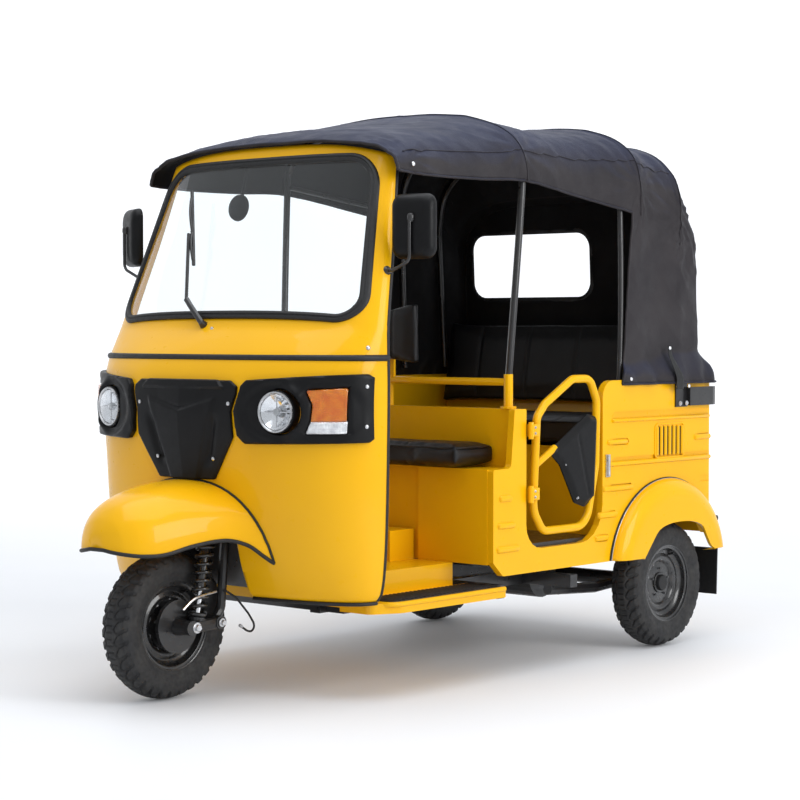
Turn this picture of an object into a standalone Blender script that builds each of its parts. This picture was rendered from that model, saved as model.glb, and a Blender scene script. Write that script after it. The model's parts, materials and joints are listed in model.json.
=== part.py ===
"""Electric passenger tricycle: pressed-steel cowl and body, canvas canopy, leading-link front fork.

Metres. +Z is up, the vehicle faces -Y, and +X is its left side, where the passenger door is.
The origin lies on the ground under the middle of the vehicle.
"""
import math

import bmesh
import bpy
from mathutils import Matrix, Vector

# Overall sizes
WHEELBASE = 2.0
TRACK = 1.08
BODY_HALF = 0.60            # outer faces of the side panels
FRONT_AXLE_Y = -1.010
REAR_AXLE_Y = FRONT_AXLE_Y + WHEELBASE
ROOF_Z = 1.955              # crown of the canopy

# Shared clearances and thicknesses
FIT = 0.0003                # between faces that touch
PANEL = 0.025               # side panels, floors and boxes
SHEET = 0.006               # fenders, housings

# Wheels
TYRE_RADIUS = 0.236
TYRE_WIDTH = 0.122
RIM_RADIUS = 0.139
RIM_WIDTH = 0.100
AXLE_Z = TYRE_RADIUS
WHEEL_SEGMENTS = 28
RIM_SEGMENTS = 20

# Cowl
COWL_WALL = 0.022
COWL_BASE_Z = 0.315
COWL_TOP_Z = 1.812
COWL_POINTS = 21
# height, nose behind the front axle, rear edge behind the front axle, half width over BODY_HALF, roundness
COWL_ROWS = (
    (COWL_BASE_Z, 0.215, 0.375, -0.030, 2.4),
    (0.345, 0.190, 0.385, -0.012, 2.4),
    (0.450, 0.150, 0.392, -0.002, 2.4),
    (0.600, 0.118, 0.395, 0.003, 2.4),
    (0.750, 0.100, 0.397, 0.005, 2.4),
    (0.900, 0.082, 0.399, 0.006, 2.4),
    (1.000, 0.087, 0.400, 0.006, 2.4),
    (1.080, 0.118, 0.400, 0.005, 2.4),
    (1.150, 0.185, 0.400, 0.004, 2.4),
    (1.200, 0.238, 0.402, 0.003, 2.4),
    (1.500, 0.368, 0.490, -0.048, 2.7),
    (COWL_TOP_Z, 0.500, 0.572, -0.101, 3.0),
)
COWL_HEIGHTS = (
    COWL_BASE_Z, 0.345, 0.42, 0.51, 0.60, 0.70, 0.80, 0.90, 0.96,
    1.00, 1.04, 1.08, 1.115, 1.15, 1.20, 1.50, COWL_TOP_Z,
)
CANOPY_HEM_Z = 1.796        # top of the cowl, under the canopy's front hem
ARCH_HALF = 0.185
ARCH_TOP_Z = 0.60

# Windshield: outline in its own plane, which leans back by RAKE
RAKE = math.radians(19.0)
SCREEN_LOW_Z = 1.203
SCREEN_HIGH_Z = 1.757
SCREEN_LOW_HALF = BODY_HALF - 0.022
SCREEN_HIGH_HALF = BODY_HALF - 0.118
SCREEN_CORNER = 0.095       # lower corners
SCREEN_HEAD_CORNER = 0.130  # upper corners
GASKET_WIDTH = 0.030
GASKET_PROUD = 0.010
GLASS = 0.005
GLASS_SET = 0.004           # glass face behind the cowl's face

# Lamps
BEZEL_PROUD = 0.026
BEZEL_GAP = 0.006
HEADLAMP_X = 0.385
HEADLAMP_Z = 0.925
HEADLAMP_RADIUS = 0.066
INDICATOR_X = (0.4865, 0.5838)
INDICATOR_Z = (0.8573, 0.9968)

# Steering: the axis leans back and meets FORK_Z at FORK_Y
STEER_RAKE = math.radians(20.0)
STEER_FOOT = Vector((0.0, FRONT_AXLE_Y + 0.205, 0.50))
COLUMN_RADIUS = 0.020
HEAD_RADIUS = 0.034
LINK_X = 0.118
FORK_X = 0.088
SPRING_X = 0.096
LINK_PIVOT = (FRONT_AXLE_Y + 0.128, AXLE_Z + 0.006)
SPRING_FOOT = (FRONT_AXLE_Y + 0.052, AXLE_Z + 0.030)
SPRING_HEAD = (FRONT_AXLE_Y + 0.100, 0.545)
SPRING_RADIUS = 0.0250
SPRING_WIRE = 0.0062
SPRING_TURNS = 10
SPRING_STEPS = 7

# Floor and steps
FLOOR_Z = 0.39
FLOOR_HALF = BODY_HALF - 0.175
SILL_Z = 0.35
STEP_TOP_Z = 0.312
STEP_THICK = 0.034
WELL_REAR_Y = FRONT_AXLE_Y + 0.365
WELL_TOP_Z = 0.635

# Chassis rails
RAIL_X = 0.30
RAIL_HALF = 0.022
RAIL_LOW_Z = 0.262
RAIL_HIGH_Z = 0.3115

# Driver's seat box and partition
SEAT_FRONT_Y = REAR_AXLE_Y - 1.063
PARTITION_Y = REAR_AXLE_Y - 0.880
SEAT_BOX_Z = 0.712
PARTITION_Z = 0.912
RAIL_Z = 1.003
RAIL_RADIUS = 0.013

# Passenger body
BODY_TOP_Z = 1.0
BODY_REAR_Y = REAR_AXLE_Y + 0.287
BODY_CORNER = 0.030
DOOR_FRONT_Y = PARTITION_Y
DOOR_REAR_Y = REAR_AXLE_Y - 0.433
DOOR_SILL_Z = 0.430
PASSENGER_FLOOR_Z = 0.445
PASSENGER_WALL_Y = REAR_AXLE_Y - 0.430
PASSENGER_BOX_Z = 0.760
ARCH_RADIUS = 0.300
LOUVRES = 6
FENDER_MIDDLE = (REAR_AXLE_Y - 0.030, 0.300)    # of the ellipse where fender and body meet
FENDER_REACH = 0.360
FENDER_RISE = 0.331
FENDER_FOOT_Z = 0.352
FENDER_OUT = 0.054
FENDER_STEPS = 20
RIB_DEPTH = 0.006

# Mirrors and wiper
MIRROR_FOOT_Z = 1.368
MIRROR_FOOT_BACK = 0.418
MIRROR_HEAD = (0.655, 0.462, 1.511)     # across, behind the front axle, up
MIRROR_SIZE = (0.078, 0.105, 0.030)     # half width, half height, depth
WIPER_X = -0.065

# Door
DOOR_TUBE = 0.0145
HINGE_Y = DOOR_FRONT_Y + 0.006
HINGE_X = BODY_HALF + 0.016

# Canopy
CANOPY_THICK = 0.005
HOOP_RADIUS = 0.011
CANOPY_POINTS = 16

COLOURS = {
    # name: colour, roughness, metallic
    "yellow_paint": ((0.93, 0.52, 0.02, 1), 0.25, 0.0),
    "black_paint": ((0.012, 0.012, 0.013, 1), 0.35, 0.0),
    "black_plastic": ((0.018, 0.019, 0.021, 1), 0.45, 0.0),
    "rubber": ((0.02, 0.02, 0.02, 1), 0.7, 0.0),
    "glass": ((0.8, 0.88, 0.9, 0.3), 0.05, 0.0),
    "clear_lens": ((0.85, 0.87, 0.9, 1), 0.1, 0.6),
    "amber_lens": ((0.95, 0.35, 0.02, 1), 0.15, 0.0),
    "red_lens": ((0.6, 0.02, 0.02, 1), 0.15, 0.0),
    "vinyl": ((0.015, 0.016, 0.02, 1), 0.4, 0.0),
    "canvas": ((0.03, 0.03, 0.034, 1), 0.75, 0.0),
    "steel": ((0.6, 0.6, 0.62, 1), 0.3, 1.0),
}


# ---------------------------------------------------------------- materials and objects

def clear_scene():
    for old in list(bpy.data.objects):
        bpy.data.objects.remove(old, do_unlink=True)


def material(name):
    found = bpy.data.materials.get(name)
    if found:
        return found
    colour, roughness, metallic = COLOURS[name]
    made = bpy.data.materials.new(name)
    made.use_nodes = True
    shader = made.node_tree.nodes["Principled BSDF"]
    shader.inputs["Base Color"].default_value = colour
    shader.inputs["Roughness"].default_value = roughness
    shader.inputs["Metallic"].default_value = metallic
    return made


def body_axis(name, place, parent=None):
    """An empty on a joint's axis, which the pieces of one moving body hang from."""
    empty = bpy.data.objects.new(name, None)
    bpy.context.scene.collection.objects.link(empty)
    empty.location = place
    bpy.context.view_layer.update()
    if parent:
        empty.parent = parent
        empty.matrix_parent_inverse = parent.matrix_world.inverted()
    return empty


def add(name, bm, finish, body=None):
    """Turns a bmesh into one named sub-part."""
    bmesh.ops.recalc_face_normals(bm, faces=bm.faces)
    mesh = bpy.data.meshes.new(name)
    bm.to_mesh(mesh)
    bm.free()
    mesh.materials.append(material(finish))
    piece = bpy.data.objects.new(name, mesh)
    bpy.context.scene.collection.objects.link(piece)
    mesh.shade_smooth()
    mesh.set_sharp_from_angle(angle=math.radians(32))
    if body:
        bpy.context.view_layer.update()
        piece.parent = body
        piece.matrix_parent_inverse = body.matrix_world.inverted()
    return piece


def scratch(bm):
    """A solid that only cuts, joins or trims another one."""
    return add("scratch", bm, "steel")


def boolean(piece, operation, tools):
    """Applies one exact Boolean for each tool, and removes the tools."""
    for tool in tools:
        change = piece.modifiers.new(operation, "BOOLEAN")
        change.operation = operation
        change.solver = "EXACT"
        change.object = tool
    bpy.context.view_layer.update()
    graph = bpy.context.evaluated_depsgraph_get()
    result = bpy.data.meshes.new_from_object(piece.evaluated_get(graph))
    piece.modifiers.clear()
    piece.data = result
    bm = bmesh.new()
    bm.from_mesh(result)
    many_sided = [face for face in bm.faces if len(face.verts) > 4]
    bmesh.ops.triangulate(bm, faces=many_sided, ngon_method="EAR_CLIP")
    bm.to_mesh(result)
    bm.free()
    for tool in tools:
        bpy.data.objects.remove(tool, do_unlink=True)
    result.shade_smooth()
    result.set_sharp_from_angle(angle=math.radians(32))
    return piece


def cut(piece, *shapes):
    return boolean(piece, "DIFFERENCE", [scratch(bm) for bm in shapes])


def fuse(piece, *shapes):
    return boolean(piece, "UNION", [scratch(bm) for bm in shapes])


def keep_inside(piece, *shapes):
    return boolean(piece, "INTERSECT", [scratch(bm) for bm in shapes])


# ---------------------------------------------------------------- shapes

def loft(rings, split=False):
    """A closed solid through rings of equal length, with flat caps. Splitting its sides into triangles
    makes lofts through the same rings match each other exactly."""
    bm = bmesh.new()
    rows = [[bm.verts.new(point) for point in ring] for ring in rings]
    count = len(rows[0])
    for low, high in zip(rows, rows[1:]):
        for i in range(count):
            j = (i + 1) % count
            if split:
                bm.faces.new((low[i], low[j], high[j]))
                bm.faces.new((low[i], high[j], high[i]))
            else:
                bm.faces.new((low[i], low[j], high[j], high[i]))
    bm.faces.new(rows[0])
    bm.faces.new(rows[-1])
    return bm


def closed_loft(rings):
    """A solid through rings whose last one joins the first, such as a hoop."""
    bm = bmesh.new()
    rows = [[bm.verts.new(point) for point in ring] for ring in rings]
    count = len(rings[0])
    for here, there in zip(rows, rows[1:] + rows[:1]):
        for i in range(count):
            j = (i + 1) % count
            bm.faces.new((here[i], here[j], there[j], there[i]))
    return bm


def box(low, high):
    (x0, y0, z0), (x1, y1, z1) = low, high
    outline = ((x0, y0), (x1, y0), (x1, y1), (x0, y1))
    return loft([[(x, y, z) for x, y in outline] for z in (z0, z1)])


def prism(outline, axis, start, end):
    """An outline pushed along one axis. It is drawn in (y, z), (x, z) or (x, y) for X, Y or Z."""
    def place(point, along):
        a, b = point
        return {"X": (along, a, b), "Y": (a, along, b), "Z": (a, b, along)}[axis]
    return loft([[place(point, along) for point in outline] for along in (start, end)])


def rounded(corners, steps=4):
    """An outline whose (a, b, radius) corners are replaced by arcs."""
    outline = []
    count = len(corners)
    for i, (a, b, radius) in enumerate(corners):
        here = Vector((a, b))
        if radius <= 0:
            outline.append(tuple(here))
            continue
        back = (Vector(corners[i - 1][:2]) - here).normalized()
        ahead = (Vector(corners[(i + 1) % count][:2]) - here).normalized()
        half = back.angle(ahead) / 2
        centre = here + (back + ahead).normalized() * (radius / math.sin(half))
        reach = radius / math.tan(half)
        first = here + back * reach - centre
        sweep = first.angle_signed(here + ahead * reach - centre)
        for step in range(steps + 1):
            turn = Matrix.Rotation(-sweep * step / steps, 2)
            outline.append(tuple(centre + turn @ first))
    return outline


def rounded_rectangle(low, high, radius, steps=4):
    (a0, b0), (a1, b1) = low, high
    return rounded([(a0, b0, radius), (a1, b0, radius), (a1, b1, radius), (a0, b1, radius)], steps)


def across_from(axis):
    """A direction square to an axis: straight up where it can be, so that a wheel stands on a corner."""
    up = Vector((0, 0, 1)) if abs(axis.z) < 0.9 else Vector((0, 1, 0))
    return (up - axis * up.dot(axis)).normalized()


def turned(profile, centre, axis, count=WHEEL_SEGMENTS):
    """A closed (radius, along) profile turned a full circle about an axis through centre."""
    axis = Vector(axis).normalized()
    side = across_from(axis)
    other = axis.cross(side)
    rings = []
    for i in range(count):
        angle = math.tau * i / count
        out = side * math.cos(angle) + other * math.sin(angle)
        rings.append([Vector(centre) + out * r + axis * a for r, a in profile])
    return closed_loft(rings)


def rod(start, end, radius, count=12, end_radius=None):
    start, end = Vector(start), Vector(end)
    axis = (end - start).normalized()
    side = across_from(axis)
    other = axis.cross(side)
    rings = []
    for place, size in ((start, radius), (end, end_radius or radius)):
        angles = [math.tau * i / count for i in range(count)]
        rings.append([place + (side * math.cos(t) + other * math.sin(t)) * size for t in angles])
    return loft(rings)


def bent(points, radius, steps=4):
    """A path whose inner corners are rounded."""
    points = [Vector(point) for point in points]
    path = [points[0]]
    for before, here, after in zip(points, points[1:], points[2:]):
        back = (before - here).normalized()
        ahead = (after - here).normalized()
        half = back.angle(ahead) / 2
        reach = min(radius / math.tan(half), 0.45 * (before - here).length, 0.45 * (after - here).length)
        size = reach * math.tan(half)
        centre = here + (back + ahead).normalized() * (size / math.sin(half))
        first = here + back * reach - centre
        last = here + ahead * reach - centre
        for step in range(steps + 1):
            path.append(centre + first.lerp(last, step / steps).normalized() * size)
    path.append(points[-1])
    return path


def tube(path, radius, count=8, closed=False):
    """A round tube along a path, kept from twisting."""
    path = [Vector(point) for point in path]
    size = len(path)
    tangents = []
    for i in range(size):
        before = path[i - 1] if closed or i else path[i]
        after = path[(i + 1) % size] if closed or i < size - 1 else path[i]
        tangents.append((after - before).normalized())
    side = tangents[0].orthogonal().normalized()
    rings = []
    for place, tangent in zip(path, tangents):
        side = (side - tangent * side.dot(tangent)).normalized()
        other = tangent.cross(side)
        angles = [math.tau * k / count for k in range(count)]
        rings.append([place + (side * math.cos(t) + other * math.sin(t)) * radius for t in angles])
    return closed_loft(rings) if closed else loft(rings)


def both_sides(make):
    """Calls make(name suffix, side) for the vehicle's left and right."""
    for suffix, side in (("left", 1), ("right", -1)):
        make(suffix, side)


# ---------------------------------------------------------------- cowl

def smooth_row(rows, height):
    """Reads a table by its first column, along smooth curves through its rows."""
    last = len(rows) - 1
    i = max(k for k in range(last) if rows[k][0] <= height)
    r0, r1, r2, r3 = rows[max(i - 1, 0)], rows[i], rows[i + 1], rows[min(i + 2, last)]
    span = r2[0] - r1[0]
    t = (height - r1[0]) / span
    values = []
    for k in range(1, len(r1)):
        slope_in = (r2[k] - r0[k]) / (r2[0] - r0[0]) * span
        slope_out = (r3[k] - r1[k]) / (r3[0] - r1[0]) * span
        a = 2 * r1[k] - 2 * r2[k] + slope_in + slope_out
        b = 3 * r2[k] - 3 * r1[k] - 2 * slope_in - slope_out
        values.append(((a * t + b) * t + slope_in) * t + r1[k])
    return values


def cowl_curve(height, out=0.0):
    """The cowl's plan outline at a height, from its left rear edge round the nose to its right one."""
    nose, edge, wide, roundness = smooth_row(COWL_ROWS, height)
    half = BODY_HALF + wide
    depth = edge - nose
    power = 2 / roundness
    curve = []
    for i in range(COWL_POINTS):
        angle = math.pi * i / (COWL_POINTS - 1)
        across, along = math.cos(angle), math.sin(angle)
        x = half * math.copysign(abs(across) ** power, across)
        y = FRONT_AXLE_Y + edge - depth * abs(along) ** power
        curve.append(Vector((x, y)))
    if not out:
        return [(p.x, p.y, height) for p in curve]
    moved = []
    last = COWL_POINTS - 1
    for i, point in enumerate(curve):
        run = curve[min(i + 1, last)] - curve[max(i - 1, 0)]
        normal = Vector((-run.y, run.x)).normalized()
        if i in (0, last):
            normal = Vector((math.copysign(1, point.x), 0))
        elif normal.dot(point - Vector((0, curve[0].y))) < 0:
            normal = -normal
        moved.append(point + normal * out)
    return [(p.x, p.y, height) for p in moved]


def cowl_block(out):
    """The whole space inside the cowl's outer face, moved out by a distance and filled."""
    rings = []
    for height in COWL_HEIGHTS:
        rings.append(cowl_curve(height, out))
    below = [(x, y, z - 0.05) for x, y, z in rings[0]]
    above = [(x, y, z + 0.05) for x, y, z in rings[-1]]
    return loft([below, *rings, above], split=True)


def screen_outline(inset):
    """The windshield's rounded outline in (x, distance up the slope from its lower edge)."""
    rise = (SCREEN_HIGH_Z - SCREEN_LOW_Z) / math.cos(RAKE)
    low, high = SCREEN_LOW_HALF - inset, SCREEN_HIGH_HALF - inset
    corner, head_corner = SCREEN_CORNER - inset, SCREEN_HEAD_CORNER - inset
    return rounded([
        (low, inset, corner),
        (high, rise - inset, head_corner),
        (-high, rise - inset, head_corner),
        (-low, inset, corner),
    ], 4)


def screen_prism(inset, front, rear):
    """The windshield's outline pushed square to its slope, from front to rear of its plane."""
    up = Vector((0, math.sin(RAKE), math.cos(RAKE)))
    normal = Vector((0, -math.cos(RAKE), math.sin(RAKE)))
    foot = Vector((0, FRONT_AXLE_Y + 0.29, SCREEN_LOW_Z))
    rings = []
    for along in (front, rear):
        rings.append([foot + Vector((x, 0, 0)) + up * s + normal * along for x, s in screen_outline(inset)])
    return loft(rings)


def roof_arch():
    """The line where the cowl ends under the canopy, as an outline over which everything is cut away."""
    points = []
    for i in range(-8, 9):
        share = i / 8
        points.append((BODY_HALF * share, CANOPY_HEM_Z - 0.085 * abs(share) ** 3))
    side = BODY_HALF + 0.2
    return points + [(side, 1.6), (side, 2.2), (-side, 2.2), (-side, 1.6)]


def arch_cut():
    """The opening over the front wheel."""
    outline = rounded([
        (-ARCH_HALF, COWL_BASE_Z - 0.1, 0),
        (-ARCH_HALF, ARCH_TOP_Z, 0.08),
        (ARCH_HALF, ARCH_TOP_Z, 0.08),
        (ARCH_HALF, COWL_BASE_Z - 0.1, 0),
    ])
    return prism(outline, "Y", FRONT_AXLE_Y - 0.1, FRONT_AXLE_Y + 0.33)


def make_cowl():
    rings = []
    for height in COWL_HEIGHTS:
        outer = cowl_curve(height)
        inner = cowl_curve(height, -COWL_WALL)
        rings.append(outer + inner[::-1])
    cowl = add("cowl", loft(rings, split=True), "yellow_paint")
    cut(cowl, screen_prism(0, 0.2, -0.2), arch_cut())
    cut(cowl, prism(roof_arch(), "Y", FRONT_AXLE_Y, FRONT_AXLE_Y + 0.8))


def face_y(x, z):
    """Where the cowl's face lies at a place across and a height."""
    nose, edge, wide, roundness = smooth_row(COWL_ROWS, z)
    share = min(abs(x) / (BODY_HALF + wide), 1)
    return FRONT_AXLE_Y + edge - (edge - nose) * (1 - share ** roundness) ** (1 / roundness)


def on_screen(x, rise, behind):
    """A point of the windshield's outline, moved square to its slope to lie behind the cowl's face."""
    up = Vector((0, math.sin(RAKE), math.cos(RAKE)))
    normal = Vector((0, -math.cos(RAKE), math.sin(RAKE)))
    start = Vector((x, FRONT_AXLE_Y + 0.29, SCREEN_LOW_Z)) + up * rise
    near, far = -0.25, 0.25
    for _ in range(24):
        middle = (near + far) / 2
        point = start + normal * middle
        if point.y - face_y(point.x, point.z) > behind:
            near = middle
        else:
            far = middle
    return start + normal * near


def gasket_pairs(longest):
    """Matching points of the gasket's outer and inner outlines, no further apart than longest."""
    corners = [(Vector(a), Vector(b)) for a, b in zip(screen_outline(FIT), screen_outline(GASKET_WIDTH))]
    pairs = []
    for here, there in zip(corners, corners[1:] + corners[:1]):
        count = max(1, math.ceil((there[0] - here[0]).length / longest))
        pairs += [tuple(a.lerp(b, i / count) for a, b in zip(here, there)) for i in range(count)]
    return pairs


def make_windshield():
    sections = []
    for outer, inner in gasket_pairs(0.14):
        sections.append([
            on_screen(*outer, -GASKET_PROUD), on_screen(*inner, -GASKET_PROUD),
            on_screen(*inner, COWL_WALL), on_screen(*outer, COWL_WALL)])
    add("windshield_gasket", closed_loft(sections), "rubber")

    right = [point for point in screen_outline(GASKET_WIDTH + 3 * FIT) if point[0] > 0]
    half = len(right) // 2
    right.insert(half, tuple(Vector(right[half - 1]).lerp(Vector(right[half]), 0.5)))
    rings = []
    for x, rise in right:
        across = [x * (1 - 2 * i / 12) for i in range(13)]
        front = [on_screen(u, rise, GLASS_SET) for u in across]
        rear = [on_screen(u, rise, GLASS_SET + GLASS) for u in across[::-1]]
        rings.append(front + rear)
    add("windshield", loft(rings), "glass")


# ---------------------------------------------------------------- lamp panel

def panel_on_cowl(name, outline, proud, finish):
    """A moulding of even thickness that lies on the cowl inside an (x, z) outline."""
    piece = add(name, prism(outline, "Y", FRONT_AXLE_Y - 0.1, FRONT_AXLE_Y + 0.385), finish)
    keep_inside(piece, cowl_block(proud))
    cut(piece, cowl_block(FIT))
    return piece


def grille_outline():
    top, waist, foot = 0.232, 0.205, 0.118
    left = [
        (top - 0.035, 1.022, 0.004), (top, 1.000, 0.004), (top, 0.975, 0.01), (waist, 0.925, 0.01),
        (waist, 0.850, 0.01), (foot, 0.700, 0.01),
    ]
    right = [(-x, z, r) for x, z, r in left[::-1]]
    return rounded(left + right, 2)


def bezel_outline(side):
    inner = 0.232 + BEZEL_GAP
    waist = 0.205 + BEZEL_GAP
    outer = BODY_HALF + 0.017
    corners = [
        (inner + 0.026, 1.018, 0.01), (inner + 0.005, 0.998, 0.01), (inner, 0.975, 0.01),
        (waist + 0.018, 0.925, 0.01), (waist + 0.018, 0.862, 0.01), (inner + 0.03, 0.820, 0.01),
        (outer - 0.008, 0.832, 0.01), (outer, 0.845, 0.01),
        (outer, 1.032, 0.01), (outer - 0.008, 1.044, 0.01),
    ]
    outline = rounded(corners, 2)
    return [(side * x, z) for x, z in outline]


def indicator_outline(side, inset=0.0):
    (x0, x1), (z0, z1) = INDICATOR_X, INDICATOR_Z
    corners = (
        (x0 + 0.012 + inset, z0 + inset), (x1 - inset, z0 + inset),
        (x1 - inset, z1 - inset), (x0 + inset, z1 - inset),
    )
    return [(side * x, z) for x, z in corners]


def make_lamps(suffix, side):
    bezel = panel_on_cowl("lamp_bezel_" + suffix, bezel_outline(side), BEZEL_PROUD, "black_plastic")
    lamp_rear = FRONT_AXLE_Y + 0.15
    hole = rod(
        (side * HEADLAMP_X, lamp_rear, HEADLAMP_Z),
        (side * HEADLAMP_X, FRONT_AXLE_Y - 0.1, HEADLAMP_Z), HEADLAMP_RADIUS + FIT, 28)
    lens_space = prism(indicator_outline(side), "Y", FRONT_AXLE_Y - 0.1, FRONT_AXLE_Y + 0.384)
    cut(bezel, hole, lens_space)

    dome = [(0, -0.004), (0.6, -0.002), (0.9, 0.004), (1.0, 0.012), (1.0, 0.030), (0, 0.030)]
    profile = [(max(r, 0.02) * HEADLAMP_RADIUS, a) for r, a in dome]
    centre = (side * HEADLAMP_X, FRONT_AXLE_Y + 0.100, HEADLAMP_Z)
    lamp = add("headlamp_" + suffix, turned(profile, centre, (0, 1, 0), 28), "clear_lens")
    fuse(lamp, rod(centre, (centre[0], centre[1] + 0.029, centre[2]), HEADLAMP_RADIUS * 0.5, 12))
    cut(lamp, cowl_block(FIT))

    indicator = add(
        "indicator_" + suffix,
        prism(indicator_outline(side, FIT), "Y", FRONT_AXLE_Y - 0.1, FRONT_AXLE_Y + 0.31), "amber_lens")
    keep_inside(indicator, cowl_block(BEZEL_PROUD + 0.006))
    cut(indicator, cowl_block(FIT))


# ---------------------------------------------------------------- front fender and wheel housing

def fender_ring(y, half, crown, low, shrink):
    """One arched cross-section of the front fender, as a sheet of even thickness."""
    def arch(inset):
        points = []
        for i in range(15):
            angle = math.pi * i / 14
            across, up = math.cos(angle), math.sin(angle)
            x = (half - inset) * math.copysign(abs(across) ** 0.85, across)
            points.append((x, y, low + (crown - inset - low) * abs(up) ** 0.85))
        return points
    return arch(0) + arch(shrink)[::-1]


def make_front_fender():
    # place from the front axle, half width, crown height, lower edge height
    rows = (
        (-0.300, 0.042, 0.558, 0.516),
        (-0.280, 0.088, 0.590, 0.506),
        (-0.235, 0.130, 0.630, 0.494),
        (-0.150, 0.162, 0.664, 0.490),
        (-0.050, 0.192, 0.688, 0.506),
        (0.050, 0.232, 0.697, 0.518),
        (0.110, 0.270, 0.698, 0.500),
        (0.150, 0.305, 0.696, 0.462),
        (0.180, 0.322, 0.690, 0.440),
        (0.250, 0.330, 0.670, 0.430),
    )
    rings = [fender_ring(FRONT_AXLE_Y + y, half, crown, low, SHEET) for y, half, crown, low in rows]
    tip = [(x, y, z) for x, y, z in fender_ring(FRONT_AXLE_Y - 0.309, 0.022, 0.545, 0.522, 0.018)]
    fender = add("front_fender", loft([tip] + rings), "yellow_paint")
    cut(fender, cowl_block(FIT))


def make_wheel_well():
    """The dark housing over the front wheel, inside the cowl, open below and ahead."""
    half = ARCH_HALF + 0.045
    outer = rounded([
        (-half, COWL_BASE_Z + 0.01, 0), (-half, WELL_TOP_Z, 0.09),
        (half, WELL_TOP_Z, 0.09), (half, COWL_BASE_Z + 0.01, 0)])
    well = add("wheel_well", prism(outer, "Y", FRONT_AXLE_Y, WELL_REAR_Y), "black_paint")
    keep_inside(well, cowl_block(-COWL_WALL - 0.002))
    inner = rounded([
        (-half + SHEET, COWL_BASE_Z - 0.1, 0), (-half + SHEET, WELL_TOP_Z - SHEET, 0.084),
        (half - SHEET, WELL_TOP_Z - SHEET, 0.084), (half - SHEET, COWL_BASE_Z - 0.1, 0)])
    cut(well, prism(inner, "Y", FRONT_AXLE_Y - 0.1, WELL_REAR_Y - SHEET), head_rod(HEAD_RADIUS + FIT, 0.2))


# ---------------------------------------------------------------- steering

def steer_direction():
    return Vector((0, math.sin(STEER_RAKE), math.cos(STEER_RAKE)))


def on_steer_axis(height):
    return STEER_FOOT + steer_direction() * ((height - STEER_FOOT.z) / math.cos(STEER_RAKE))


def head_rod(radius, grow=0.0):
    return rod(on_steer_axis(0.600 - grow), on_steer_axis(0.830 + grow), radius, 20)


def make_steering():
    body = body_axis("steering_axis", STEER_FOOT)
    lower = on_steer_axis(0.570)
    column = rod(lower, on_steer_axis(1.050), COLUMN_RADIUS, 16)
    fork = add("steering_fork", column, "black_paint", body)
    arm_path = bent([
        on_steer_axis(0.578), (0.050, FRONT_AXLE_Y + 0.195, 0.553), (FORK_X, FRONT_AXLE_Y + 0.185, 0.50),
        (FORK_X, FRONT_AXLE_Y + 0.165, AXLE_Z + 0.045), (FORK_X, LINK_PIVOT[0] + 0.004, LINK_PIVOT[1]),
    ], 0.04)
    crown = [(FORK_X, FRONT_AXLE_Y + 0.186, 0.515), (SPRING_X, SPRING_HEAD[0] - 0.012, SPRING_HEAD[1] + 0.020)]
    fuse(fork,
         rod(on_steer_axis(0.568), on_steer_axis(0.592), 0.036, 16),
         tube(arm_path, 0.016, 10),
         tube(crown, 0.016, 8),
         rod((FORK_X - 0.022, *LINK_PIVOT), (LINK_X - 0.010 - FIT, *LINK_PIVOT), 0.024, 16))
    spring_axis = Vector((0, SPRING_HEAD[0] - SPRING_FOOT[0], SPRING_HEAD[1] - SPRING_FOOT[1])).normalized()
    head = Vector((SPRING_X, *SPRING_HEAD))
    cut(fork, rod(head - spring_axis * 0.10, head + spring_axis * FIT, 0.034, 16))
    make_handlebar(body)
    make_link(body)
    make_spring(body)
    make_brake_cable(body)
    return body


def make_handlebar(body):
    top = on_steer_axis(1.050)
    bar = add("handlebar", rod(on_steer_axis(1.0505), on_steer_axis(1.085), 0.034, 16), "black_plastic", body)
    for side in (1, -1):
        grip = bent([
            top + Vector((0, 0, 0.018)), (side * 0.14, top.y - 0.005, top.z + 0.030),
            (side * 0.30, top.y + 0.075, top.z + 0.025)], 0.08)
        fuse(bar, tube(grip, 0.012, 10), rod(grip[-2].lerp(grip[-1], 0.35), grip[-1], 0.018, 12))


def make_link(body):
    """The leading link: brake plate round the axle, arm to the pivot behind it, and the spring's foot."""
    axle = (FRONT_AXLE_Y, AXLE_Z)
    link = add("fork_link", rod((0.052, *axle), (LINK_X + 0.012, *axle), 0.011, 14), "black_paint", body)
    arm = tube([(LINK_X, *axle), (LINK_X, *LINK_PIVOT)], 0.010, 8)
    for vert in arm.verts:
        centre = AXLE_Z + (vert.co.y - FRONT_AXLE_Y) * 0.047
        vert.co.z = centre + (vert.co.z - centre) * 2.0
    foot_low = (SPRING_X, SPRING_FOOT[0] - 0.001, SPRING_FOOT[1] - 0.016)
    foot_high = (SPRING_X, SPRING_FOOT[0] + 0.001, SPRING_FOOT[1] - 0.002)
    fuse(link,
         arm,
         rod((LINK_X - 0.010, *axle), (LINK_X + 0.014, *axle), 0.024, 16),
         rod((LINK_X - 0.010, *LINK_PIVOT), (LINK_X + 0.012, *LINK_PIVOT), 0.022, 16),
         rod((0.050, *axle), (0.064, *axle), 0.086, 28),
         rod((0.062, *axle), (LINK_X - 0.01, *axle), 0.030, 16, 0.022),
         rod(foot_low, foot_high, 0.026, 16),
         box((LINK_X - 0.030, SPRING_FOOT[0] - 0.014, AXLE_Z + 0.004),
             (LINK_X + 0.005, SPRING_FOOT[0] + 0.014, SPRING_FOOT[1] - 0.008)))


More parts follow.
